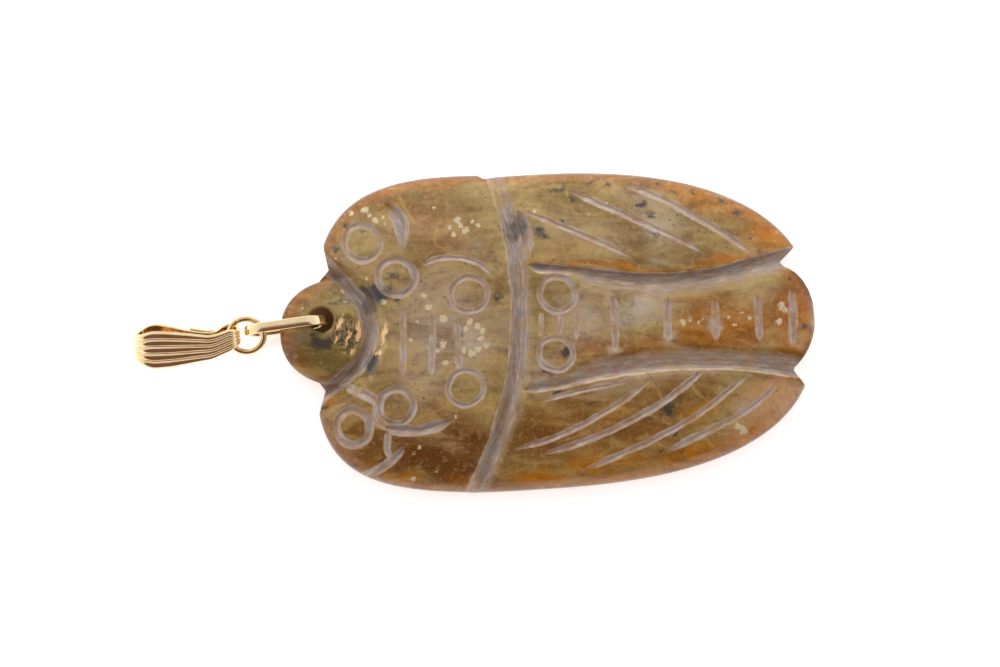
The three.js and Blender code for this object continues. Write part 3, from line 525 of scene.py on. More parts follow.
# %% [markdown]
# Under the polish a hand-cut stone is never quite even: it rolls by a few hundredths of a millimetre,
# the ground of the wings keeps ridges from the wheel, and the head has a patch where the stone broke
# away in small flakes. These are real bumps in the mesh. What is finer still is left to the material.

# %% Relief of the surface
THINNEST = 0.35  # millimetres of stone left under the deepest cuts
FLAKES_X, FLAKES_Y, FLAKES_TURN = 348, 334, (0.35, 0.94)
SUNK = 0.045  # millimetres that the rolling surface is kept down, so that the crown isn't above the solid's


def flakes(x, y):
    """The broken patch on the head: how far it is down in millimetres, and where it lies."""
    (c, s), right, down = FLAKES_TURN, x - FLAKES_X, y - FLAKES_Y
    long = right * c + down * s
    wide = right * s - down * c
    spread = np.hypot(wide / 14, long / 25) + 0.25 * value_noise(x, y, 7, 31)
    within = smooth(1.0 - spread, 0, 0.35)
    ripples = value_noise(long / 2.4 + 0.5 * value_noise(x, y, 9, 35), wide, 3.0, 32)
    return within * (0.05 + 0.1 * ripples + 0.06 * value_noise(x, y, 2.0, 33)), within


def relief(x, y, field):
    rolling = 0.035 * value_noise(x, y, 34, 11) + 0.016 * value_noise(x, y, 13, 12) - SUNK
    ridges = 0.02 * value_noise(field.along / 9, field.across, 1.5, 13) * field.inside
    broken, _ = flakes(x, y)
    return rolling * (1 - field.inside) + ridges - broken


def crown_height(x, y, field):
    floor = underside_at(x, y) + THINNEST
    edge = smooth(share_of_outline(x, y), 1, 1 - RIM_BAND)
    return np.maximum(crown_at(x, y) - field.depth + relief(x, y, field) * edge, floor)


def back_height(x, y, field):
    return underside_at(x, y) + field.depth


patch_x, patch_y = (grid.ravel() for grid in np.mgrid[-12:13, -20:21])
flaked_depth, _ = flakes(FLAKES_X + patch_x, FLAKES_Y + patch_y)
print("the broken patch goes up to", round(float(flaked_depth.max()), 2), "mm deep")

# %% [markdown]
# A closed mesh is a list of points and a list of faces. Rows of equal length are joined by strips of quads.
# The middle is filled by Blender's own Delaunay triangulation, which links a loop of outline points, a
# loop round the hole and every lattice point. It may also bridge a notch, so such triangles are dropped.

# %% A shell of points and faces


def inside_loop(spots, loop):
    """Whether spots lie inside a closed line: the way out to the right crosses it an odd number of times."""
    x, y = spots[:, :1], spots[:, 1:]
    (ax, ay), (bx, by) = loop.T, np.roll(loop, -1, 0).T
    passes = (ay > y) != (by > y)
    rise = np.where(by == ay, 1, by - ay)
    return (passes & (x < ax + (y - ay) * (bx - ax) / rise)).sum(1) % 2 == 1


class Shell:
    """Collects points and faces of one closed surface."""

    def __init__(self):
        self.points, self.faces, self.count = [], [], 0

    def add(self, plan, heights):
        self.points.append(np.column_stack([plan, heights]))
        self.count += len(plan)
        return np.arange(self.count - len(plan), self.count)

    def strip(self, one, other):
        for i in range(len(one)):
            j = (i + 1) % len(one)
            self.faces.append((int(one[i]), int(one[j]), int(other[j]), int(other[i])))

    def fill(self, rim, hole, inner, plan, rim_share):
        """Triangulates the space between two loops through the inner points."""
        used = np.concatenate([rim, hole, inner])
        spots = [Vector((x, -y)) for x, y in plan[used]]
        edges = [(i, (i + 1) % len(rim)) for i in range(len(rim))]
        edges += [(len(rim) + i, len(rim) + (i + 1) % len(hole)) for i in range(len(hole))]
        _, _, faces, origins, _, _ = delaunay_2d_cdt(spots, edges, [], 1, 1e-7, True)
        place = [int(used[origin[0]]) for origin in origins]
        corners = np.array([[place[k] for k in face] for face in faces])
        middle = plan[corners].mean(1)
        off_hole = np.hypot(middle[:, 0] - HOLE_X, middle[:, 1] - HOLE_Y) > HOLE_RADIUS + HOLE_FLARE * 0.98
        within = np.ones(len(middle), bool)  # true for all but a few near the rim, which are tested
        outer = np.flatnonzero(share_of_outline(middle[:, 0], middle[:, 1]) > rim_share - 0.012)
        within[outer] = inside_loop(middle[outer], plan[rim])
        self.faces += [tuple(face) for face in corners[off_hole & within].tolist()]


print("of four spots the outline holds",
      int(inside_loop(np.array([(350.0, 330), (560, 200), (327, 268), (270, 170)]), outline_row(1)).sum()))

# %% [markdown]
# Now the surface is put together from the top down: rows round the rim of the crown, the upright rim, rows
# on the back, and then the wall of the drilled hole and the two triangulated middles.

# %% Crown, rim and back


def heights_of(plan, height, strokes, rings):
    """Heights of points in plan, and what the strokes left at them."""
    field = carved(plan[:, 0], plan[:, 1], strokes, rings)
    return height(plan[:, 0], plan[:, 1], field), field


shell = Shell()
crown_plan = np.vstack([outline_row(share) for share in crown_shares]
                       + [hole_row(HOLE_RADIUS + HOLE_FLARE), crown_inner])
crown_z, crown_field = heights_of(crown_plan, crown_height, STROKES, RINGS)
back_plan = np.vstack([outline_row(share) for share in back_shares]
                      + [hole_row(HOLE_RADIUS + HOLE_FLARE), back_inner])
back_z, back_field = heights_of(back_plan, back_height, BACK_STROKES, [])

crown_index = shell.add(crown_plan, crown_z)
back_index = shell.add(back_plan, back_z)
crown_rows = [crown_index[k * OUTLINE_STEPS:(k + 1) * OUTLINE_STEPS] for k in range(len(crown_shares))]
back_rows = [back_index[k * OUTLINE_STEPS:(k + 1) * OUTLINE_STEPS] for k in range(len(back_shares))]
crown_rest = crown_index[len(crown_shares) * OUTLINE_STEPS:]
back_rest = back_index[len(back_shares) * OUTLINE_STEPS:]

top, bottom = crown_z[:OUTLINE_STEPS], back_z[:OUTLINE_STEPS]
wall = [crown_rows[0]]
for share in (0.25, 0.5, 0.75):
    wall.append(shell.add(outline_row(1.0), mix(top, bottom, share)))
wall.append(back_rows[0])
for rows in (crown_rows, wall, back_rows):
    for one, other in zip(rows, rows[1:]):
        shell.strip(one, other)

lowest, highest = float((top - bottom).min()), float((top - bottom).max())
print("the rim's wall is", round(lowest, 2), "to", round(highest, 2), "mm high")

# %% [markdown]
# The drilled hole has a straight wall with a small flare at both ends, where the drill's edge and the
# link's rubbing rounded the stone. The finished object prints its open edges: a closed surface has none.

# %% The hole and the finished stone
BORE_ROWS = [  # share of the flare, and share of the way down
    (0.75, 0.03), (0.2, 0.08), (0, 0.16), (0, 0.5), (0, 0.84), (0.2, 0.92), (0.75, 0.97),
]
bore_top = crown_z[len(crown_shares) * OUTLINE_STEPS:][:HOLE_STEPS]
bore_bottom = back_z[len(back_shares) * OUTLINE_STEPS:][:HOLE_STEPS]
bore = [crown_rest[:HOLE_STEPS]]
for flare, share in BORE_ROWS:
    bore.append(shell.add(hole_row(HOLE_RADIUS + HOLE_FLARE * flare), mix(bore_top, bore_bottom, share)))
bore.append(back_rest[:HOLE_STEPS])
for one, other in zip(bore, bore[1:]):
    shell.strip(one, other)

plan = np.vstack(shell.points)[:, :2]
shell.fill(crown_rows[-1], crown_rest[:HOLE_STEPS], crown_rest[HOLE_STEPS:], plan, crown_shares[-1])
shell.fill(back_rows[-1], back_rest[:HOLE_STEPS], back_rest[HOLE_STEPS:], plan, back_shares[-1])


def mesh_object(name, points_mm, faces):
    """A shaded-smooth mesh in metres whose faces all point out."""
    mesh = bpy.data.meshes.new(name)
    mesh.from_pydata((np.asarray(points_mm) * MM).tolist(), [], faces)
    work = bmesh.new()
    work.from_mesh(mesh)
    bmesh.ops.recalc_face_normals(work, faces=work.faces)
    open_edges = sum(not edge.is_manifold for edge in work.edges)
    work.to_mesh(mesh)
    work.free()
    mesh.polygons.foreach_set("use_smooth", [True] * len(mesh.polygons))
    made = bpy.data.objects.new(name, mesh)
    bpy.context.scene.collection.objects.link(made)
    triangles = sum(len(polygon.vertices) - 2 for polygon in mesh.polygons)
    print(name, "has", triangles, "triangles and", open_edges, "open edges")
    return made


all_points = np.vstack(shell.points)
stone_points = np.column_stack([(all_points[:, 0] - MIDDLE_X) * SQUARE,
                                (MIDDLE_Y - all_points[:, 1]) * SQUARE, all_points[:, 2]])
stone = mesh_object("carved_stone", stone_points, shell.faces)

# %% [markdown]
# The stone's colour isn't even: the middle is clouded grey, the rims glow orange where light passes
# through thin stone, the lower wing is redder, and cream and blue-black inclusions lie here and there.
# Soft fields stored on the mesh say where each tint lies, and the material breaks up their edges. A picture
# wrapped round the stone could do it too, but it would smear on the rim; fields follow the shape. The
# spots are listed: middle, half length, half width, turn and strength. First come the inclusions.

# %% Inclusions in the stone


def blobs(x, y, spots, waver, cell, seed):
    """Soft spots (x, y, half length, half width, turn, strength), the strongest at each point."""
    wx = x + waver * value_noise(x, y, cell, seed)
    wy = y + waver * value_noise(x, y, cell, seed + 1)
    field = np.zeros(len(x))
    for sx, sy, long, wide, turn, strength in spots:
        c, s = math.cos(math.radians(turn)), math.sin(math.radians(turn))
        u = ((wx - sx) * c + (wy - sy) * s) / long
        v = ((wy - sy) * c - (wx - sx) * s) / wide
        field = np.maximum(field, strength * np.exp(-(u * u + v * v)))
    return field


# Most dark spots are inclusions; the thin ones at y 272 to 278, right under the upper wing's edge, are
# painted shadow in the groove.
DARK = [
    (322, 343, 15, 12, 20, 0.9), (340, 332, 16, 10, 60, 0.55), (372, 362, 9, 13, 20, 1.05),
    (378, 292, 24, 9, 12, 1.05), (498, 296, 9, 4, 0, 0.75), (511, 228, 13, 13, 0, 1.0),
    (540, 233, 9, 8, 0, 0.9), (650, 214, 9, 7, 30, 0.7), (657, 236, 16, 10, 60, 0.55),
    (667, 409, 15, 12, 0, 0.75), (566, 349, 6, 10, 0, 0.9), (548, 371, 9, 5, 10, 0.95),
    (551, 190, 7, 4, 0, 0.6), (553, 212, 9, 6, 20, 0.5), (588, 182, 7, 3, 0, 0.6),
    (655, 184, 7, 3, 0, 0.6), (722, 199, 10, 4, 15, 0.7), (705, 212, 6, 4, 0, 0.4),
    (745, 222, 8, 6, 0, 0.4), (695, 278, 9, 3, 0, 0.6), (583, 272, 16, 3, 0, 0.6),
    (334, 304, 10, 5, 0, 0.6), (345, 226, 4, 3, 0, 0.9), (338, 251, 6, 4, 0, 0.9),
    (323, 407, 5, 3, 40, 0.9), (352, 466, 7, 3, 20, 0.7), (381, 463, 4, 2, -30, 0.9),
    (790, 277, 4, 3, 0, 0.8), (804, 327, 6, 5, 0, 0.9), (628, 320, 12, 12, 0, 0.35),
    (474, 250, 13, 7, 0, 0.3), (457, 332, 4, 8, 0, 0.6), (440, 352, 14, 14, 0, 0.3),
    (560, 188, 8, 3, 0, 0.9), (572, 200, 5, 3, 0, 0.8), (610, 186, 6, 3, 20, 0.7),
    (640, 188, 5, 3, 0, 0.8), (670, 194, 6, 3, 10, 0.8), (690, 192, 5, 3, 0, 0.6),
    (735, 212, 7, 4, 20, 0.8), (748, 236, 5, 3, 0, 0.7), (760, 250, 6, 3, 0, 0.6),
    (640, 206, 6, 5, 0, 0.9), (560, 222, 5, 4, 0, 0.6), (600, 262, 4, 2, 0, 0.9),
    (590, 402, 10, 3, -12, 0.7), (650, 420, 6, 4, 0, 0.8), (676, 432, 7, 4, 0, 0.7),
    (560, 392, 8, 3, 0, 0.8), (690, 272, 12, 3, -4, 0.9), (620, 274, 20, 2, 2, 0.8),
    (352, 488, 6, 3, 20, 0.8), (362, 230, 3, 2, 0, 0.6), (347, 440, 3, 3, 0, 0.8),
    (620, 358, 30, 5, -10, 0.3), (505, 352, 8, 4, 0, 0.4), (389, 322, 6, 22, 0, 0.25),
    (392, 275, 9, 9, 0, 0.65), (395, 405, 9, 9, 0, 0.3), (470, 390, 10, 10, 0, 0.3),
]
CREAM = [(x, y, r, r * 0.85, 25 * k, 1.0) for k, (x, y, r) in enumerate([
    (366, 210, 4), (352, 214, 3), (370, 216, 2.2), (376, 221, 3.6), (383, 218, 2.6), (386, 224, 2),
    (458, 220, 4), (466, 231, 5), (454, 235, 3.4), (450, 228, 2.6), (478, 226, 3), (435, 209, 2.2),
    (461, 226, 3), (472, 222, 2.6), (385, 302, 4.2), (425, 296, 3.4), (429, 307, 4.4), (444, 319, 5),
    (470, 322, 4.4), (477, 326, 4), (483, 331, 3.4), (481, 339, 3.6), (487, 346, 4), (478, 349, 4.4),
    (471, 354, 4.6), (464, 350, 3), (466, 329, 3), (444, 344, 5), (438, 350, 3), (446, 363, 3.6),
    (412, 340, 2.6), (418, 322, 2.2), (535, 212, 3.4), (456, 417, 2.6), (420, 447, 2.6),
    (414, 453, 2.4), (413, 478, 3), (437, 471, 2), (737, 426, 5.5), (743, 430, 5), (780, 307, 4.6),
    (784, 311, 3), (778, 322, 4), (727, 317, 2.4), (740, 313, 2.2), (748, 318, 2.4), (681, 322, 4),
    (689, 320, 3), (697, 324, 2.4), (733, 325, 2.2), (702, 320, 2.6), (712, 312, 2), (720, 328, 2),
    (336, 258, 2), (302, 308, 2.2), (345, 302, 2.6), (588, 214, 2), (343, 291, 3), (606, 205, 2),
])]
print(len(DARK), "dark clouds and", len(CREAM), "cream spots")

# %% [markdown]
# Large clouds come next. Where stone is thin, towards rims and tail, light comes through and it looks
# amber or orange; the lower side is red-brown, the head olive, and the thick middle a milky grey.

# %% Clouds and glows
AMBER = [
    (640, 352, 60, 16, -16, 0.5), (725, 325, 60, 24, -4, 1.0), (700, 300, 50, 10, 0, 0.5),
    (797, 322, 30, 42, -8, 1.3), (590, 350, 34, 14, -18, 0.5), (310, 296, 24, 10, -20, 0.3),
    (400, 205, 60, 14, 8, 0.35), (372, 262, 16, 10, 0, 0.3), (700, 330, 40, 16, 0, 0.6),
]
ORANGE = [
    (775, 232, 36, 26, 40, 1.0), (625, 267, 95, 5, 3, 0.8), (722, 262, 50, 6, -12, 0.8),
    (700, 200, 60, 14, 18, 0.6), (620, 480, 130, 9, -6, 0.7), (745, 440, 60, 14, -35, 0.8),
    (400, 478, 40, 9, 15, 0.7), (450, 250, 40, 26, 10, 0.3), (565, 250, 30, 12, 8, 0.3),
    (600, 462, 60, 10, -8, 0.8), (690, 452, 50, 12, -18, 0.8), (545, 478, 40, 12, 0, 0.8),
    (460, 482, 30, 8, 0, 0.6), (700, 410, 30, 10, -30, 0.6), (612, 415, 24, 8, -24, 0.5),
    (805, 330, 8, 30, -8, 0.7), (420, 187, 60, 6, -8, 0.4),
]
RED = [
    (428, 455, 58, 26, 8, 1.15), (462, 440, 26, 32, 10, 0.9), (400, 435, 22, 16, 0, 0.6),
    (540, 440, 40, 26, -8, 0.5), (480, 470, 26, 16, 0, 0.6), (600, 468, 60, 14, -10, 0.45),
    (350, 400, 12, 20, 0, 0.4), (690, 395, 40, 12, -28, 0.4),
]
OLIVE = [
    (330, 350, 48, 42, 0, 1.0), (305, 330, 26, 34, 0, 1.0), (350, 235, 22, 30, 0, 0.5),
    (375, 300, 22, 20, 0, 0.8), (360, 440, 30, 36, 0, 0.7), (430, 205, 60, 14, 0, 0.5),
    (600, 200, 60, 12, 8, 0.5), (690, 225, 34, 16, 30, 0.6), (540, 300, 30, 26, 0, 0.5),
]
BROWN = [
    (560, 425, 60, 34, -8, 1.0), (640, 430, 80, 40, -20, 0.9), (360, 440, 34, 40, 0, 0.9),
    (430, 410, 40, 20, 0, 0.6), (345, 205, 16, 14, 0, 0.4), (620, 210, 60, 12, 10, 0.35),
    (400, 205, 26, 12, 0, 0.5), (600, 350, 40, 8, -12, 0.6), (640, 335, 40, 8, -14, 0.5),
]
GREY = [
    (445, 325, 58, 56, 0, 1.0), (585, 325, 48, 40, 0, 0.95), (650, 308, 40, 20, 0, 1.0),
    (425, 385, 34, 26, 0, 0.8), (540, 375, 36, 22, 0, 0.7), (655, 210, 40, 18, 20, 0.8),
    (600, 240, 60, 16, 8, 0.35), (505, 330, 24, 70, 0, 0.5), (690, 352, 50, 10, -4, 0.6),
    (635, 380, 60, 12, -10, 0.6), (745, 262, 40, 8, -16, 0.5),
]
PINK = [
    (768, 400, 28, 22, -20, 1.0), (784, 384, 14, 14, 0, 0.9), (735, 425, 26, 12, -30, 0.5),
    (425, 230, 40, 24, 0, 0.35), (600, 425, 40, 10, -24, 0.3), (700, 372, 40, 8, 0, 0.4),
]
print(len(AMBER + ORANGE + RED + OLIVE + BROWN + GREY + PINK), "clouds in seven tints")

# %% [markdown]
# Small marks are last: warm painted highlights on the head's flakes and a few edges, milky patches, places
# where a groove was polished clean again, smoke-blue stains in the grooves, and hair-fine veins, which are
# splines like the strokes.

# %% Marks and veins
# Painted highlights: warm flashes on the head's flakes, on the bank of the neck's groove and on a few small
# spots.
PAINTED_GLINTS = [
    (341, 322, 3.0, 12, 24, 1.0), (348, 338, 2.6, 12, 16, 0.9), (337, 340, 2.0, 9, 30, 0.8),
    (359, 331, 2.4, 13, 8, 1.0), (354, 350, 3, 6, 30, 0.8), (345, 352, 5, 3, 10, 0.6),
    (385, 333, 3.2, 12, 12, 1.0), (380, 353, 4.4, 3, -20, 0.9), (386, 346, 2, 5, 20, 0.7),
    (331, 328, 2, 6, 30, 0.5), (368, 279, 1.3, 1.3, 0, 0.9), (346, 395, 2.4, 1, 0, 0.8),
    (470, 274, 1.6, 1.1, 0, 0.8), (748, 405, 1.6, 1.2, 0, 0.7), (335, 310, 1.5, 1.2, 0, 0.8),
]
PALE = [
    (638, 312, 24, 14, -20, 1.0), (612, 350, 7, 6, 0, 0.9), (668, 336, 7, 9, 0, 0.9),
    (713, 326, 8, 10, 0, 0.9), (607, 300, 4, 10, 0, 0.6), (757, 312, 5, 12, 0, 0.6),
    (590, 322, 16, 18, 0, 0.5), (690, 372, 60, 3, 2, 0.7), (640, 376, 40, 3, -6, 0.6),
    (468, 250, 24, 14, 20, 0.4), (470, 345, 20, 24, 0, 0.7), (430, 330, 20, 30, 0, 0.4),
    (655, 262, 14, 5, 0, 0.6), (770, 262, 16, 8, -20, 0.6), (800, 340, 6, 12, 0, 0.5),
    (484, 455, 3, 30, 24, 0.8), (740, 405, 22, 10, -20, 0.4), (660, 230, 20, 22, 0, 0.5),
]
BARE = [
    (496, 192, 14, 22, 0, 0.9), (497, 250, 8, 38, -6, 0.9), (506, 335, 7, 50, 0, 0.8),
    (501, 415, 8, 36, 10, 0.7), (477, 468, 9, 26, 18, 0.9), (522, 400, 5, 30, 0, 0.5),
    (575, 290, 30, 5, 4, 0.4), (760, 258, 20, 5, -18, 0.4), (385, 215, 4, 12, 0, 0.5),
    (340, 285, 12, 8, 30, 0.6), (350, 372, 7, 12, 30, 0.5), (600, 392, 30, 5, -10, 0.3),
]
BLUE = [
    (356, 333, 4.5, 9, 8, 1.0), (376, 300, 9, 20, 40, 1.0), (345, 300, 12, 5, 20, 0.6),
    (372, 366, 9, 11, 0, 1.0), (516, 232, 12, 16, 0, 0.9), (536, 230, 8, 9, 0, 0.7),
]
VEINS = [
    [(566, 190), (572, 208), (592, 226), (622, 246), (648, 262)],
    [(592, 190), (585, 212), (600, 236), (598, 256)], [(648, 196), (662, 222), (656, 246), (668, 264)],
    [(690, 384), (706, 402), (738, 424), (752, 444)], [(548, 346), (590, 352), (640, 340), (690, 352)],
    [(430, 190), (440, 214), (436, 240), (452, 262)], [(640, 380), (668, 404), (700, 430), (716, 456)],
    [(610, 300), (640, 318), (662, 314), (700, 334), (742, 330)], [(400, 200), (420, 222), (470, 238)],
]


def vein_field(x, y):
    """Thin natural veins: pale threads that waver through the stone."""
    wx, wy = x + 5 * value_noise(x, y, 16, 81), y + 5 * value_noise(x, y, 16, 82)
    field = np.zeros(len(x))
    for seed, corners in enumerate(VEINS):
        line, _, _ = sampled(np.array(corners, float))
        near = ((wx > line[:, 0].min() - 8) & (wx < line[:, 0].max() + 8)
                & (wy > line[:, 1].min() - 8) & (wy < line[:, 1].max() + 8))
        here = np.flatnonzero(near)
        gap = np.empty(len(here))
        for start in range(0, len(here), 4000):
            part = here[start:start + 4000]
            squared = (wx[part, None] - line[:, 0]) ** 2 + (wy[part, None] - line[:, 1]) ** 2
            gap[start:start + 4000] = np.sqrt(squared.min(1))
        patchy = 0.65 + 0.5 * value_noise(x[here], y[here], 12, 90 + seed)
        field[here] = np.maximum(field[here], patchy * np.exp(-((gap / 1.9) ** 2)))
    return field


print(len(PAINTED_GLINTS), "glints,", len(PALE), "milky patches,", len(BARE), "bare places and", len(VEINS), "veins")

# %% [markdown]
# Each field becomes an attribute, one number at each point of the mesh, which the material reads by name.
# What only the carved side shows, such as the cream spots, is left off the back.

# %% Storing the fields


def fields_at(x, y):
    """The named fields at points of the drawing grid, each between 0 and 1."""
    rim = share_of_outline(x, y)
    return {
        "dark": blobs(x, y, DARK, 4, 7, 61),
        "cream": blobs(x, y, CREAM, 0.8, 3, 63),
        "amber": np.maximum(blobs(x, y, AMBER, 7, 22, 65), 0.75 * smooth(rim, 0.9, 1.0)),
        "orange": blobs(x, y, ORANGE, 5, 18, 66),
        "red": blobs(x, y, RED, 10, 30, 67),
        "brown": blobs(x, y, BROWN, 10, 26, 68),
        "olive": blobs(x, y, OLIVE, 10, 26, 64),
        "grey": blobs(x, y, GREY, 10, 26, 69),
        "pink": blobs(x, y, PINK, 8, 18, 71),
        "painted_glint": blobs(x, y, PAINTED_GLINTS, 1.5, 4, 73),
        "blue": blobs(x, y, BLUE, 3, 6, 75),
        "bare": blobs(x, y, BARE, 4, 9, 77),
        "pale": blobs(x, y, PALE, 4, 9, 79),
        "rim": smooth(rim, 0.972, 0.998),
        "vein": vein_field(x, y),
        "broken": flakes(x, y)[1],
    }


def store(mesh, name, values):
    """Keeps one number for each point of the mesh under a name."""
    layer = mesh.attributes.new(name, "FLOAT", "POINT")
    layer.data.foreach_set("value", np.ascontiguousarray(values, np.float32))


tints = fields_at(all_points[:, 0], all_points[:, 1])
cut_count = len(crown_plan) + len(back_plan)
for name in ("inside", "lip", "ground", "across", "along"):
    values = np.zeros(len(all_points))
    values[:len(crown_plan)] = getattr(crown_field, name)
    values[len(crown_plan):cut_count] = getattr(back_field, name)
    store(stone.data, name, values)
is_crown = np.zeros(len(all_points))
is_crown[:len(crown_plan)] = 1
for name, values in tints.items():
    if name in ("cream", "broken", "painted_glint"):
        values = values * is_crown
    store(stone.data, name, values)
print("fields stored:", ", ".join(sorted(tints)))

# %% [markdown]
# A material is a chain of nodes. Written out by hand it is long and hard to read, so a small class wraps
# a socket and lets Python's own signs add the Math nodes: `1 - mask * 2` builds two of them. Colours
# can't pass through a Math node without turning grey, so they are blended with Mix nodes.

# %% A socket with arithmetic


class Wire:
    """One output socket of a material, with arithmetic."""

    def __init__(self, sheet, socket):
        self.sheet, self.socket = sheet, socket

    def _math(self, operation, *others):
        inputs = {k: value for k, value in enumerate(others)}
        return self.sheet.add("ShaderNodeMath", {"operation": operation}, inputs)

    def __add__(self, other):
        return self._math("ADD", self, other)

    def __sub__(self, other):
        return self._math("SUBTRACT", self, other)

    def __rsub__(self, other):
        return self._math("SUBTRACT", other, self)

    def __mul__(self, other):
        return self._math("MULTIPLY", self, other)

    __radd__, __rmul__ = __add__, __mul__

    def at_least(self, other):
        return self._math("MAXIMUM", self, other)

    def between(self, low, high):
        """Eased from 0 to 1 as the value goes from low to high."""
        settings = {"interpolation_type": "SMOOTHSTEP"}
        values = {"Value": self, "From Min": low, "From Max": high, "To Min": 0.0, "To Max": 1.0}
        return self.sheet.add("ShaderNodeMapRange", settings, values)


print("a wire's methods:", ", ".join(name for name in vars(Wire) if not name.startswith("__")))

# %% [markdown]
# The sheet stands for the node tree of a material or of the world. Its method `add` makes any node from
# its type, its settings and its sockets; the others are short names for what this pendant uses most.
# A length on the object is given in millimetres, so a noise of scale 1 has features about 1 mm apart.

# %% A sheet to write nodes on


class Sheet:
    """The nodes of a material or a world, as they are being written."""

    def __init__(self, owner):
        owner.use_nodes = True
        self.owner, self.tree = owner, owner.node_tree
        self.tree.nodes.clear()

    def add(self, kind, settings=None, inputs=None, output=0):
        """Adds a node: first its settings, then the values or links of its sockets."""
        node = self.tree.nodes.new(kind)
        for name, value in (settings or {}).items():
            setattr(node, name, value)
        for name, value in (inputs or {}).items():
            if isinstance(value, Wire):
                self.tree.links.new(value.socket, node.inputs[name])
            else:
                node.inputs[name].default_value = value
        return Wire(self, node.outputs[output]) if node.outputs else None

    def field(self, name):
        return self.add("ShaderNodeAttribute", {"attribute_name": name}, output="Fac")

    def place(self, scale=(1, 1, 1), turn=0.0):
        """Position on the object in millimetres, stretched and turned."""
        spot = self.add("ShaderNodeTexCoord", output="Object")
        stretch = tuple(value / MM for value in scale)
        return self.add("ShaderNodeMapping", {}, {"Vector": spot, "Scale": stretch,
                                                  "Rotation": (0, 0, math.radians(turn))})

    def noise(self, where, scale, detail=4.0, roughness=0.55, distortion=0.0):
        values = {"Vector": where, "Scale": scale, "Detail": detail, "Roughness": roughness,
                  "Distortion": distortion}
        return self.add("ShaderNodeTexNoise", {}, values)

    def blend(self, share, one, other):
        """Colour one where share is 0, other where it is 1."""
        colours = [value if isinstance(value, Wire) else (*value, 1) for value in (one, other)]
        return self.add("ShaderNodeMix", {"data_type": "RGBA"},
                        {0: share, 6: colours[0], 7: colours[1]}, output=2)

    def bump(self, height, strength, depth, normal=None):
        values = {"Height": height, "Strength": strength, "Distance": depth * MM}
        if normal:
            values["Normal"] = normal
        return self.add("ShaderNodeBump", {}, values)

    def finish(self, **sockets):
        """Ends the material in a Principled shader; an underscore in a name stands for a space."""
        names = {name.replace("_", " "): value for name, value in sockets.items()}
        shader = self.add("ShaderNodeBsdfPrincipled", {}, names, output="BSDF")
        self.add("ShaderNodeOutputMaterial", {}, {"Surface": shader})
        return self.owner


def tint(red, green, blue):
    """A colour given as it looks on a screen, 0 to 255, in the linear values that shading uses."""
    return tuple((v / 255 / 12.92) if v <= 10 else ((v / 255 + 0.055) / 1.055) ** 2.4
                 for v in (red, green, blue))


print("mid grey on a screen is", round(tint(128, 128, 128)[0], 3), "in light")

# %% [markdown]
# Polished jade is an ochre ground in layers of cloud. The same few noises break up every edge in it, so
# they are made once: slow mottling, small specks, fine grain. Each cloud is tinted where its field, made
# uneven by the mottling, is high, and streaks that slant across the stone run through them all.

# %% Jade: the body
CLOUD_TINTS = [  # field, how far mottling breaks its edge, how much it covers, colour
    ("grey", 0.8, 0.85, (180, 160, 140)), ("olive", 0.7, 0.85, (120, 105, 62)),
    ("brown", 0.7, 0.85, (130, 88, 46)), ("amber", 0.6, 0.95, (160, 94, 34)),
    ("red", 0.5, 0.95, (98, 54, 26)), ("orange", 0.5, 0.95, (186, 118, 44)),
    ("pink", 0.5, 0.9, (206, 156, 126)), ("pale", 0.9, 0.75, (194, 184, 166)),
    ("rim", 0.2, 0.75, (100, 66, 30)),
]


class StoneNoises:
    """The noises that several layers of the stone share."""

    def __init__(self, sheet):
        self.near = sheet.place()
        self.mottling = sheet.noise(self.near, 0.3, 5, 0.6, 0.8)
        self.patches = sheet.noise(self.near, 0.7, 4, 0.65)
        self.smoke = sheet.noise(self.near, 1.6, 5, 0.66, 0.5)
        self.specks = sheet.noise(self.near, 1.8, 5, 0.62, 0.3)
        self.grain = sheet.noise(self.near, 5.5, 4, 0.7)
        self.fine = sheet.noise(self.near, 16, 3, 0.6)


def stone_body(sheet, noises):
    clouds = sheet.noise(noises.near, 0.16, 3, 0.5, 0.6)
    colour = sheet.blend(clouds.between(0.36, 0.64), tint(137, 111, 67), tint(170, 146, 101))
    for field, spread, share, shade in CLOUD_TINTS:
        mask = (sheet.field(field) + (noises.mottling - 0.5) * spread).between(0.0, 1.0)
        colour = sheet.blend(mask * share, colour, tint(*shade))
    streaks = sheet.noise(sheet.place((0.45, 1.3, 1), 24), 0.4, 5, 0.6, 1.0)
    for mask, shade in [
        (streaks.between(0.48, 0.68) * 0.5, (104, 70, 36)),
        (streaks.between(0.52, 0.32) * 0.45, (196, 168, 114)),
        (noises.specks.between(0.5, 0.75) * 0.4, (98, 70, 42)),
        (noises.specks.between(0.5, 0.25) * 0.4, (196, 172, 130)),
        (noises.grain.between(0.5, 0.7) * 0.2, (96, 70, 44)),
        (noises.grain.between(0.5, 0.3) * 0.2, (196, 172, 132)),
        ((sheet.field("vein") * (noises.mottling + 0.4)).between(0.2, 0.9) * 0.5, (190, 168, 110)),
    ]:
        colour = sheet.blend(mask, colour, tint(*shade))
    return sheet.add("ShaderNodeHueSaturation", {}, {"Saturation": 1.1, "Color": colour})


print(len(CLOUD_TINTS), "cloud tints over an ochre ground")

# %% [markdown]
# Inclusions lie over the clouds: smoky dark ones with torn edges, dark dots, and cream spots. A soft field
# with noise added and then cut off sharply gives the ragged edge; the field alone would look like a dot.

# %% Jade: inclusions


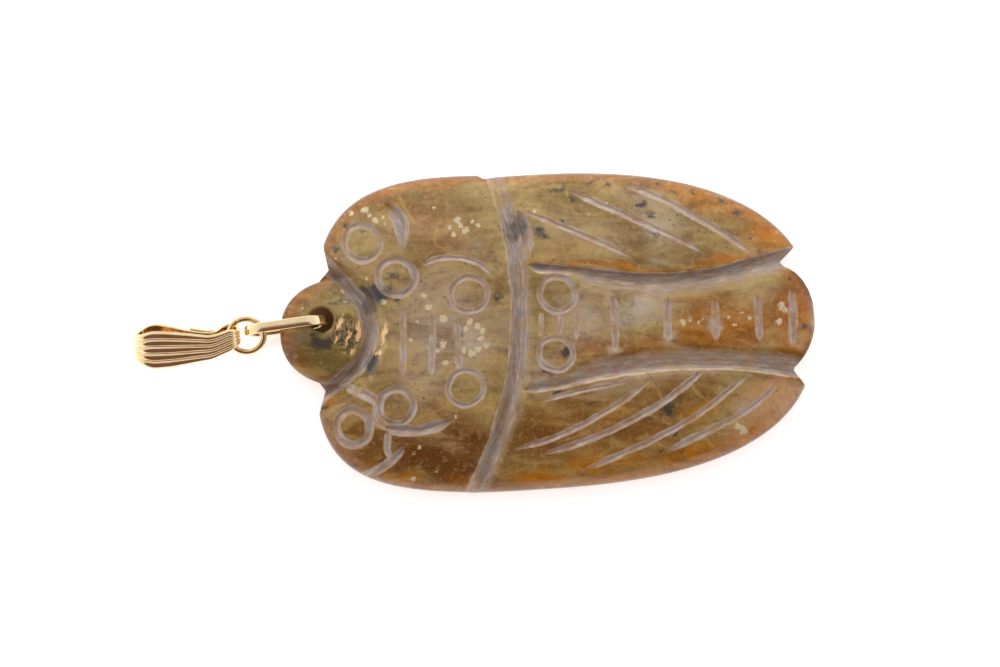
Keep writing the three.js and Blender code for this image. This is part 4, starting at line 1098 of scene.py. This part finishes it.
def with_inclusions(sheet, noises, colour):
    """The colour with its inclusions, and where the cream ones are."""
    # The dark field is mostly inclusions, with a few thin spots of painted shadow under the upper wing's
    # edge.
    dark = (sheet.field("dark") + (noises.smoke - 0.5) * 1.4).between(0.25, 0.8)
    colour = sheet.blend(dark * 0.88, colour, tint(58, 57, 56))
    dots = sheet.noise(noises.near, 2.6, 2, 0.5)
    colour = sheet.blend(dots.between(0.68, 0.74) * 0.75, colour, tint(58, 50, 38))
    ragged = (noises.specks - 0.5) * 1.6 + (noises.grain - 0.5) * 1.2 + (noises.fine - 0.5) * 0.5
    cream = (sheet.field("cream") + ragged).between(0.38, 0.66)
    return sheet.blend(cream * 0.8, colour, tint(218, 203, 168)), cream


print("dark clouds cover", round(100 * float((tints["dark"] > 0.5).mean()), 1), "% of the points")

# %% [markdown]
# The floors of the grooves were never polished: they are pale, matt and combed by the wheel. The noise for
# the combing is read at (along, across) instead of a place, stretched along the cut, so that its streaks
# bend with every groove. Wide grounds are cooler than narrow cuts, and the lips are the palest: partly
# wear, partly a painted highlight where the edge would catch the light.

# %% Jade: floors and lips of the grooves


def with_grooves(sheet, noises, colour):
    """The colour with its grooves, how far each point is inside one, and the combing."""
    run = sheet.add("ShaderNodeCombineXYZ", {}, {"X": sheet.field("along") * 0.06,
                                                 "Y": sheet.field("across") * 0.42})
    combed = sheet.noise(run, 1.0, 6, 0.7, 0.3)
    inside = sheet.field("inside") + (noises.grain - 0.5) * 0.3 - sheet.field("bare") * 0.75
    inside = inside.between(0.1, 1.0)
    uneven = noises.patches.between(0.4, 0.6)
    warm = sheet.blend(uneven, tint(178, 142, 116), tint(176, 158, 146))
    cool = sheet.blend(uneven, tint(176, 150, 134), tint(156, 146, 144))
    floor = sheet.blend(sheet.field("ground"), warm, cool)
    floor = sheet.blend(combed.between(0.45, 0.66) * 0.8, floor, tint(206, 192, 180))
    cover = 0.72 + (combed - 0.5) * 0.8 + (noises.patches - 0.5) * 1.2
    colour = sheet.blend(inside * cover.between(0.0, 1.0), colour, floor)
    stain = (sheet.field("blue") + (noises.smoke - 0.5) * 1.2).between(0.25, 0.9)
    colour = sheet.blend(stain * (0.2 + combed) * 0.9, colour, tint(58, 60, 66))
    # The pale lips are partly wear and partly a painted highlight along each groove's edge.
    lip = sheet.field("lip")
    wear_and_highlight = lip * 0.8 + (noises.grain - 0.5) * 1.2 + (noises.patches - 0.5) * 3.0
    colour = sheet.blend(wear_and_highlight.between(0.5, 2.0) * lip.between(0.1, 0.7), colour, tint(212, 188, 158))
    return colour, inside, combed


print(int((crown_field.inside > 0.5).sum()), "points of the crown lie in grooves")

# %% [markdown]
# On the head the broken patch gets painted shade between its flakes and warm painted highlights on their
# faces. Last comes the polish: a shader that is smooth on the dome and rough in the grooves, a thin clear
# coat for the wet look, and a little scattering under the surface, because jade lets light in.

# %% Jade: the broken patch and the polish


def jade_material():
    sheet = Sheet(bpy.data.materials.new("polished_jade"))
    noises = StoneNoises(sheet)
    colour, cream = with_inclusions(sheet, noises, stone_body(sheet, noises))
    colour, inside, combed = with_grooves(sheet, noises, colour)

    broken = sheet.field("broken")
    rubble = sheet.noise(sheet.place((1.8, 0.45, 1), 20), 2.6, 5, 0.7, 0.6)
    # Painted shade: the broken patch is darkened between its flakes.
    colour = sheet.blend(broken * rubble.between(0.6, 0.4) * 0.8, colour, tint(58, 38, 20))
    # Painted highlights: warm flashes on the flakes and on a few edges.
    painted_glint = sheet.field("painted_glint") * 1.1 + (rubble - 0.5) * 2.0 + (noises.fine - 0.5) * 1.4
    colour = sheet.blend(painted_glint.between(0.45, 0.8) * 0.9, colour, tint(246, 202, 146))

    matt = (inside * 0.85).at_least(broken * 0.2)
    roughness = 0.24 + matt * 0.34 + (noises.fine - 0.5) * 0.1 + cream * 0.08
    scratches = sheet.noise(sheet.place((0.3, 9, 1), -20), 1.2, 4, 0.6)
    normal = sheet.bump(combed * inside, 0.15, 0.05)
    marks = noises.grain * inside * 0.5 + scratches * 0.1 + noises.fine * 0.04
    normal = sheet.bump(marks, 0.3, 0.04, normal)
    return sheet.finish(
        Base_Color=colour, Roughness=roughness, Normal=normal, IOR=1.42,
        Coat_Weight=(1 - matt) * 0.25, Coat_Roughness=0.04, Coat_IOR=1.5,
        Subsurface_Weight=0.1, Subsurface_Radius=(1.0, 0.62, 0.3), Subsurface_Scale=0.0008,
    )


stone.data.materials.append(jade_material())
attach(stone, "root")
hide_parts("cicada")
print("jade has", len(stone.data.materials[0].node_tree.nodes), "nodes")

# %% [markdown]
# The gold pieces hang in each other from the hole outwards. The link is a bar bent into a long loop, and
# its two ends have different radii: the wide one goes through the stone. Everything below is worked out
# in the same order as on the solid: the hole, the link, the ring, the bail. Lengths are in millimetres.
# The bail alone is shorter here, by 0.07 mm, so that its fine flutes stay within the solid's length.

# %% Where the chain hangs
PIECE_GAP, REST_GAP = 0.32, 0.1
LINK_SPAN, LINK_EDGE = 8.72, 0.16
LINK_TURN, LINK_ROLL, LINK_SAG = 7.9, 6, 0.1
RING_DIAMETER, RING_WIRE, RING_TILT, RING_DROP = 4.2, 0.6, 20, 0.4
BAIL_LENGTH, BAIL_WIDTH, BAIL_THICK, BAIL_DEPTH = 11.03, 4, 0.42, 3
BAIL_TURN, BAIL_ROLL, BAIL_DROP, LEAF_DROP, EYE_PLAY = 2.2, 18, 0.05, 0.84, 0.52


def leaning(turn, roll):
    """Directions of a leaning piece: along it, to its side, and out of its face."""
    turn, roll = math.radians(turn), math.radians(roll)
    long = np.array([math.cos(turn), math.sin(turn), 0])
    side = np.array([-long[1] * math.cos(roll), long[0] * math.cos(roll), math.sin(roll)])
    return np.array([long, side, np.cross(long, side)])


hole_x, hole_y = (HOLE_X - MIDDLE_X) * SQUARE, (MIDDLE_Y - HOLE_Y) * SQUARE
head_top = float(crown_at(np.array([HOLE_X]), np.array([HOLE_Y]))[0])
link_sink = LINK_WIDTH / 2 * math.sin(math.radians(LINK_ROLL))
lower_arm = REST_GAP + LINK_THICK / 2 + link_sink
upper_arm = head_top + PIECE_GAP + LINK_THICK / 2 + link_sink
bar_reach = math.sqrt((HOLE_RADIUS * SQUARE - PIECE_GAP) ** 2 - (LINK_WIDTH / 2 + LINK_SAG) ** 2)
bar_shift = bar_reach - LINK_THICK / 2
bail_lean = math.radians(BAIL_ROLL)
chain_height = (REST_GAP + BAIL_DEPTH / 2 * math.cos(bail_lean)
                + (BAIL_WIDTH / 2 + LEAF_DROP) * math.sin(bail_lean))
near_radius, far_radius = (upper_arm - lower_arm) / 2, chain_height - lower_arm
bar_span = LINK_SPAN - LINK_THICK
hub = np.array([hole_x, hole_y - LINK_SAG, chain_height])
link_frame = leaning(LINK_TURN, -LINK_ROLL)
print("the chain's middle is", round(chain_height, 2), "mm above the table")

# %% [markdown]
# The link's bar has softened edges, so light runs along them in thin lines. A rounded section is swept
# round the loop's path; each section turns with the path, which keeps the bar's width even in the bends.

# %% The link
FACE_CROWN = 0.035  # millimetres that the bar's broad faces stand proud in the middle


def rounded_bar(half_wide, half_thick, corner, steps=6):
    """Outline of a bar's section with round corners and slightly crowned faces."""
    outline = []
    for k, (sx, sy) in enumerate([(1, 1), (-1, 1), (-1, -1), (1, -1)]):
        for i in range(steps + 1):
            angle = (k + i / steps) * math.pi / 2
            outline.append((sx * (half_wide - corner) + corner * math.cos(angle),
                            sy * (half_thick - corner) + corner * math.sin(angle)))
        if k % 2 == 0:
            for x in np.linspace(sx * 0.8, -sx * 0.8, 7):
                outline.append((x * (half_wide - corner), sy * (half_thick + FACE_CROWN * (1 - x**2))))
    return np.array(outline)


def loop_faces(rows, count):
    """Quads that join rows of points, each row and the whole sweep closed on itself."""
    return [(r * count + i, r * count + (i + 1) % count, (r + 1) % rows * count + (i + 1) % count,
             (r + 1) % rows * count + i) for r in range(rows) for i in range(count)]


def swept(name, sections):
    """A closed loop of equal sections as one mesh object."""
    return mesh_object(name, np.vstack(sections), loop_faces(len(sections), len(sections[0])))


BEND_STATIONS, ARM_STATIONS = 45, 12  # sections in each round end and along each arm


def link_sections():
    """Sections round the loop: the end in the stone, an arm, the end in the ring, an arm."""
    outline = rounded_bar(LINK_WIDTH / 2, LINK_THICK / 2, LINK_EDGE)
    stations = []
    near_middle = (bar_shift - near_radius, (upper_arm + lower_arm) / 2 - chain_height)
    far_middle = (bar_shift - bar_span + far_radius, 0)
    for (long, up), radius, start in [(near_middle, near_radius, -90), (far_middle, far_radius, 90)]:
        for degree in np.linspace(start, start + 180, BEND_STATIONS):
            out = np.array([math.cos(math.radians(degree)), math.sin(math.radians(degree))])
            stations.append((np.array([long, up]) + radius * out, out))
    arms = []
    for k, (spot, out) in enumerate(stations):
        arms.append((spot, out))
        if k % BEND_STATIONS == BEND_STATIONS - 1:
            after = stations[(k + 1) % len(stations)]
            for share in np.linspace(0, 1, ARM_STATIONS + 2)[1:-1]:
                turned = mix(out, after[1], share)
                arms.append((mix(spot, after[0], share), turned / np.hypot(*turned)))
    sections = []
    for spot, out in arms:
        section = [hub + (spot[0] + out[0] * thick) * link_frame[0] + across * link_frame[1]
                   + (spot[1] + out[1] * thick) * link_frame[2] for across, thick in outline]
        sections.append(np.array(section))
    return sections


link = swept("oblong_link", link_sections())

# %% [markdown]
# The jump ring is plain round wire bent round a rod and closed. The closing joint is never quite flush,
# so a hair-fine step is left in the wire where its ends meet.

# %% The jump ring
far_bar = hub + (bar_shift - bar_span) * link_frame[0]
eye_radius = RING_WIRE / 2 + EYE_PLAY
eye_spot = np.array([far_bar[0] - LINK_THICK / 2 - PIECE_GAP - BAIL_THICK - eye_radius,
                     far_bar[1] - RING_DROP, chain_height])
RING_RADIUS = (RING_DIAMETER - RING_WIRE) / 2
JOINT_AT = math.radians(118)


def ring_sections():
    tilt = math.radians(RING_TILT)
    sections = []
    for turn in np.sort(np.append(np.linspace(0, 2 * math.pi, 120, endpoint=False),
                                  JOINT_AT + np.array([-0.02, -0.008, 0.008, 0.02]))):
        pinch = 0.05 * math.exp(-(((turn - JOINT_AT) / 0.011) ** 2))
        step = 0.012 * math.tanh((turn - JOINT_AT) / 0.01) * math.exp(-(((turn - JOINT_AT) / 0.3) ** 2))
        section = []
        for round_wire in np.linspace(0, 2 * math.pi, 28, endpoint=False):
            wire = RING_WIRE / 2 - pinch
            out = RING_RADIUS + step + wire * math.cos(round_wire)
            x, y, z = out * math.cos(turn), out * math.sin(turn), wire * math.sin(round_wire)
            leaned = [x, y * math.cos(tilt) - z * math.sin(tilt), y * math.sin(tilt) + z * math.cos(tilt)]
            section.append(eye_spot + [RING_RADIUS, 0, 0] + np.array(leaned))
        sections.append(np.array(section))
    return sections


ring = swept("jump_ring_wire", ring_sections())

# %% [markdown]
# The bail is one strip of pressed gold sheet with five flutes, bent into a long loop that closes to an
# eye round the jump ring. Seen from the side, its middle line is a smooth closed curve through a few
# corners; the strip is narrow at the eye and wide on the leaf. Its eye is as wide as the
# ring's wire and the gap round it need.

# %% The bail's line
eye_middle = eye_radius + BAIL_THICK / 2
wide_end = BAIL_LENGTH - eye_radius - BAIL_THICK * 1.5
leaf_rise = (BAIL_DEPTH - BAIL_THICK) / 2
pinch_height = eye_middle - BAIL_THICK - PIECE_GAP
EYE_SHARE, BEND_SHARE, WIDE_END_SHARE = 0.6, 0.31, 0.7
full_width_at, leaf_start = wide_end * 0.8, wide_end * 0.16

LINE_CORNERS = np.array([
    (-eye_middle, 0), (-0.66 * eye_middle, 0.86 * eye_middle), (0.35 * eye_middle, 1.12 * eye_middle),
    (wide_end * 0.35, leaf_rise * 0.93), (wide_end * 0.68, leaf_rise * 1.02),
    (wide_end * 0.92, leaf_rise * 0.82), (wide_end, leaf_rise * 0.1),
    (wide_end * 0.93, leaf_rise * -0.78), (wide_end * 0.77, leaf_rise * -0.97),
    (wide_end * 0.6, leaf_rise * -0.56), (wide_end * 0.44, leaf_rise * -0.06),
    (wide_end * 0.3, pinch_height * 0.35), (1.38 * eye_middle, pinch_height * -0.25),
    (0.62 * eye_middle, -0.94 * eye_middle), (-0.62 * eye_middle, -0.92 * eye_middle),
])


def closed_spline(corners, per_span=80):
    """A round-cornered closed curve: centripetal spacing keeps it from looping at close corners."""
    count, spans = len(corners), []
    run = np.linspace(0, 1, per_span, endpoint=False)[:, None]
    for k in range(count):
        a, b, c, d = (corners[(k + n) % count] for n in (-1, 0, 1, 2))
        ab, bc, cd = (max(math.sqrt(math.dist(p, q)), 1e-4) for p, q in ((a, b), (b, c), (c, d)))
        enter = ((b - a) / ab - (c - a) / (ab + bc) + (c - b) / bc) * bc
        leave = ((c - b) / bc - (d - b) / (bc + cd) + (d - c) / cd) * bc
        spans.append((2 * b - 2 * c + enter + leave) * run**3
                     + (-3 * b + 3 * c - 2 * enter - leave) * run**2 + enter * run + b)
    return np.vstack(spans)


bail_curve = closed_spline(LINE_CORNERS)
closed_curve = np.vstack([bail_curve, bail_curve[:1]])
bail_travel = np.concatenate([[0], np.cumsum(np.hypot(*np.diff(closed_curve, axis=0).T))])


def bail_line(share):
    """Place and direction on the middle line at a share of its length."""
    def at(value):
        return np.array([np.interp(value * bail_travel[-1], bail_travel, closed_curve[:, k],
                                   period=bail_travel[-1]) for k in (0, 1)])
    ahead = at(share + 0.002) - at(share - 0.002)
    return at(share), ahead / np.hypot(*ahead)


def strip_half_width(long):
    leaf = mix(EYE_SHARE, 1, smooth(long, 0, full_width_at))
    bend = math.sqrt(max(0, min(1, 1 + long / eye_middle)))
    drawn = smooth(long, full_width_at, wide_end + BAIL_THICK)
    return BAIL_WIDTH / 2 * leaf * mix(BEND_SHARE / EYE_SHARE, 1, bend) * mix(1, WIDE_END_SHARE, drawn)


print("the bail's strip is", round(bail_travel[-1], 1), "mm long before bending")

# %% [markdown]
# The strip's section, with the flutes raised on its outer face, is swept along that line. The flutes have
# flat tops and narrow valleys, so each mirrors one broad band of the room, and they are lower on the back
# of the bail. On its way from the eye the leaf drops a little to its lower side, as the real one hangs.

# %% The bail's fluted strip
RIBS, RIB_HEIGHT, BACK_RIB_SHARE = 5, 0.26, 0.35
FLUTE_FLATNESS = 0.32  # 1 would give round flutes, 0 flat ones
bail_frame = leaning(180 + BAIL_TURN, -BAIL_ROLL)
bail_up = -1 if bail_frame[2][2] < 0 else 1
bail_origin = eye_spot - [0, BAIL_DROP, 0]


def strip_section(share, profile, width_share=1.0):
    """A section of the strip: the profile lists (across, out) pairs, across from -1 to 1."""
    (long, up), ahead = bail_line(share)
    outward = np.array([-ahead[1], ahead[0]])
    half = strip_half_width(long) * width_share
    drop = LEAF_DROP * smooth(long, -eye_middle, leaf_start * 1.5)
    return np.array([bail_origin + (long + outward[0] * out) * bail_frame[0]
                     + (across * half + drop) * bail_frame[1]
                     + bail_up * (up + outward[1] * out) * bail_frame[2] for across, out in profile])


def fluted_profile(ribs):
    """Flutes on the outer face, a soft edge, and a plain inner face."""
    outer = BAIL_THICK / 2
    points = []
    for i in range(RIBS * 12 + 1):
        across = 1 - 2 * i / (RIBS * 12)
        bulge = abs(math.sin(i / 12 * math.pi)) ** FLUTE_FLATNESS
        points.append((across * 0.985, outer - ribs + ribs * bulge))
    points += [(-1, -0.2 * outer), (-1, -0.7 * outer), (-0.975, -outer)]
    points += [(across, -outer) for across in np.linspace(-0.9, 0.9, 9)]
    return points + [(0.975, -outer), (1, -0.7 * outer), (1, -0.2 * outer)]


def bail_sections(steps=260):
    sections = []
    for i in range(steps):
        (_, up), _ = bail_line(i / steps)
        ribs = RIB_HEIGHT * mix(BACK_RIB_SHARE, 1, smooth(up, -pinch_height, eye_middle / 2))
        sections.append(strip_section(i / steps, fluted_profile(ribs)))
    return sections


print("a section of the strip has", len(fluted_profile(RIB_HEIGHT)), "points")

# %% [markdown]
# A plain tongue lies on the back leaf behind the neck. It is a second strip on the same line, a little
# wider than the first, with its ends capped. Loop and tongue belong to one piece of metal, so they are
# one object here too.

# %% The tongue and the finished bail
TONGUE_THICK, TONGUE_REACH, TONGUE_OVERHANG = 0.3, 4, 1.12


def back_leaf_at(long):
    """Share of the line at which the back leaf is this far from the eye."""
    near, far = 0.5, 0.95
    for _ in range(20):
        half = (near + far) / 2
        near, far = (half, far) if bail_line(half)[0][0] > long else (near, half)
    return near


def tongue_sections():
    first, last = back_leaf_at(TONGUE_REACH), back_leaf_at(eye_middle * 1.45)
    outer = BAIL_THICK / 2 + TONGUE_THICK
    outline = [(across * 0.97, outer + 0.02 * (1 - across**2)) for across in np.linspace(1, -1, 13)]
    outline += [(-1, outer - 0.05), (-1, 0.05)] + [(across * 0.97, 0) for across in np.linspace(-1, 1, 7)]
    outline += [(1, 0.05), (1, outer - 0.05)]
    return [strip_section(mix(first, last, k / 24), outline, TONGUE_OVERHANG) for k in range(25)]


def joined(name, loop, plate):
    """The bent loop and the capped plate on its back as one object."""
    faces = loop_faces(len(loop), len(loop[0]))
    start, across = len(loop) * len(loop[0]), len(plate[0])
    for r in range(len(plate) - 1):
        for i in range(across):
            j = (i + 1) % across
            faces.append((start + r * across + i, start + r * across + j,
                          start + (r + 1) * across + j, start + (r + 1) * across + i))
    faces.append(tuple(start + i for i in range(across)))
    faces.append(tuple(start + (len(plate) - 1) * across + i for i in range(across)))
    return mesh_object(name, np.vstack(loop + plate), faces)


bail = joined("fluted_bail", bail_sections(), tongue_sections())

# %% [markdown]
# Polished gold has almost no colour of its own beyond the tint of its reflections, so what counts is
# what it mirrors and how blurred. Fine rubbing marks run along each piece, and the tint shifts a little
# between pale and deep yellow, as on worn findings. The jump ring is painted the darkest, as shade for its
# darker reflections.

# %% Gold


def gold_material(name, colour, deep, roughness):
    sheet = Sheet(bpy.data.materials.new(name))
    near = sheet.place()
    film = sheet.noise(near, 0.9, 4, 0.6)
    rubbing = sheet.noise(sheet.place((0.5, 7, 7), 4), 1.6, 4, 0.65)
    wear = sheet.noise(near, 6, 3, 0.6)
    base = sheet.blend(film.between(0.35, 0.7), colour, deep)
    base = sheet.blend(wear.between(0.6, 0.8) * 0.2, base, tint(150, 96, 52))
    gloss = roughness + (film - 0.5) * 0.06 + (rubbing - 0.5) * 0.08
    normal = sheet.bump(rubbing, 0.18, 0.012)
    normal = sheet.bump(wear, 0.12, 0.02, normal)
    return sheet.finish(Base_Color=base, Metallic=1.0, Roughness=gloss, Normal=normal)


# The jump ring's darkest gold is painted shade: it stands for the ring's darker reflections.
PALE_GOLD, DEEP_GOLD, SHADED_RING_GOLD = tint(247, 226, 184), tint(240, 208, 156), tint(206, 178, 128)
for piece, node_name, slot_name, shades, roughness in [
    (link, "link", "gold_link", (PALE_GOLD, DEEP_GOLD), 0.13),
    (ring, "jump_ring", "gold_ring", (DEEP_GOLD, SHADED_RING_GOLD), 0.15),
    (bail, "bail", "gold_bail", (PALE_GOLD, DEEP_GOLD), 0.12),
]:
    piece.data.materials.append(gold_material("polished_" + slot_name, *shades, roughness))
    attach(piece, "root")
    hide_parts(node_name)
    print(piece.name, "stands for", node_name)

# %% [markdown]
# The pendant lies on plain white paper, and the picture has hardly any shadow. The paper glows a little, as
# it would with light from below, but not round the drilled hole: there its colour is a painted brown shade,
# as the stone would cast, and a white floor seen through the hole would look like a lamp.

# %% The paper
PAPER_RADIUS, PAPER_DROP = 1.6, 0.02 * MM  # metres; just under the table's height, clear of the stone
SHADED, OPEN = 2.4 * MM, 3.6 * MM  # metres from the hole's middle between which the glow sets in


def white_ground():
    mesh = bpy.data.meshes.new("white_ground")
    turns = [2 * math.pi * k / 96 for k in range(96)]
    corners = [(PAPER_RADIUS * math.cos(turn), PAPER_RADIUS * math.sin(turn), -PAPER_DROP) for turn in turns]
    mesh.from_pydata(corners, [], [tuple(range(len(corners)))])
    ground = bpy.data.objects.new("white_ground", mesh)
    bpy.context.scene.collection.objects.link(ground)
    sheet = Sheet(bpy.data.materials.new("white_paper"))
    spot = sheet.add("ShaderNodeTexCoord", output="Object")
    away = sheet.add("ShaderNodeVectorMath", {"operation": "DISTANCE"},
                     {0: spot, 1: (hole_x * MM, hole_y * MM, 0)}, output="Value")
    open_paper = away.between(SHADED, OPEN)
    fibre = sheet.noise(sheet.place(), 3, 3, 0.5)
    paper = sheet.blend(fibre, tint(250, 250, 250), tint(255, 255, 255))
    # Painted shade: the paper's colour turns brown round the hole, as under the stone.
    ground.data.materials.append(sheet.finish(
        Base_Color=sheet.blend(open_paper, tint(150, 118, 84), paper), Roughness=0.9,
        Emission_Color=sheet.blend(open_paper, (0, 0, 0), (1, 1, 1)), Emission_Strength=0.6))
    print("the paper is", 2 * PAPER_RADIUS, "m across")


white_ground()

# %% [markdown]
# A light tent surrounds it, white all round but for one dark patch where the photographer leans over the
# table. Polished gold shows nothing but its surroundings, so that patch is what draws the brown bands in
# the flutes; an all-white room would leave the gold flat. One soft lamp beside it shapes the carving.
# It stays out of the reflections, where it would be a hard white spot.

# %% Tent and lamp
DARK_LEAN = 36  # degrees from overhead to the middle of the dark patch
DARK_EDGE = (50, 33)  # degrees from its middle where it begins and where it is full


def studio_sky():
    world = bpy.data.worlds.new("studio_sky")
    bpy.context.scene.world = world
    sheet = Sheet(world)
    way = sheet.add("ShaderNodeTexCoord", output="Generated")
    lean = math.radians(DARK_LEAN)
    dark_way = (0, -math.sin(lean), math.cos(lean))
    towards = sheet.add("ShaderNodeVectorMath", {"operation": "DOT_PRODUCT"}, {0: way, 1: dark_way},
                        output="Value")
    begins, full = (math.cos(math.radians(degree)) for degree in DARK_EDGE)
    height = sheet.add("ShaderNodeSeparateXYZ", {}, {0: way}, output="Z")
    tent = sheet.blend(height.between(0.2, 0.9), (1.0, 1.0, 1.0), (0.74, 0.74, 0.74))
    colour = sheet.blend(towards.between(begins, full), tent, (0.17, 0.085, 0.07))
    sky = sheet.add("ShaderNodeBackground", {}, {"Color": colour, "Strength": 1.15})
    sheet.add("ShaderNodeOutputWorld", {}, {"Surface": sky})


def window_light():
    data = bpy.data.lights.new("window_light", "AREA")
    data.shape, data.size, data.energy = "DISK", 0.2, 0.9
    data.color = (1.0, 0.98, 0.95)
    lamp = bpy.data.objects.new("window_light", data)
    bpy.context.scene.collection.objects.link(lamp)
    lamp.location = (-0.12, 0.42, 0.24)
    lamp.rotation_euler = (-lamp.location).to_track_quat("-Z", "Y").to_euler()
    lamp.visible_glossy = False
    print("the lamp is", round(1000 * lamp.location.length), "mm away")


studio_sky()
window_light()

# %% [markdown]
# The camera looks straight down, as in the photograph. A long lens from far off keeps the outline free of
# perspective. Its height follows from the width that the picture spans at the stone's rim, so that a
# square of the drawing grid is one pixel of the picture.

# %% The camera
PICTURE = (1000, 667)
FRAME_WIDTH = PICTURE[0] * SQUARE * MM  # what the picture spans at the height of the rim
FRAME_MIDDLE = ((PICTURE[0] / 2 - MIDDLE_X) * SQUARE * MM, (MIDDLE_Y - PICTURE[1] / 2) * SQUARE * MM)
FOCAL_LENGTH, SENSOR = 200, 36
camera_data = bpy.data.cameras.new("camera")
camera_data.lens, camera_data.sensor_width = FOCAL_LENGTH, SENSOR
camera_data.clip_start, camera_data.clip_end = 0.01, 20
camera = bpy.data.objects.new("camera", camera_data)
bpy.context.scene.collection.objects.link(camera)
camera.location = (*FRAME_MIDDLE, RIM_TOP * MM + FRAME_WIDTH * FOCAL_LENGTH / SENSOR)
bpy.context.scene.camera = camera
bpy.context.scene.view_settings.view_transform = "Standard"
print("the camera looks down from", round(camera.location.z * 1000), "mm")

# %% [markdown]
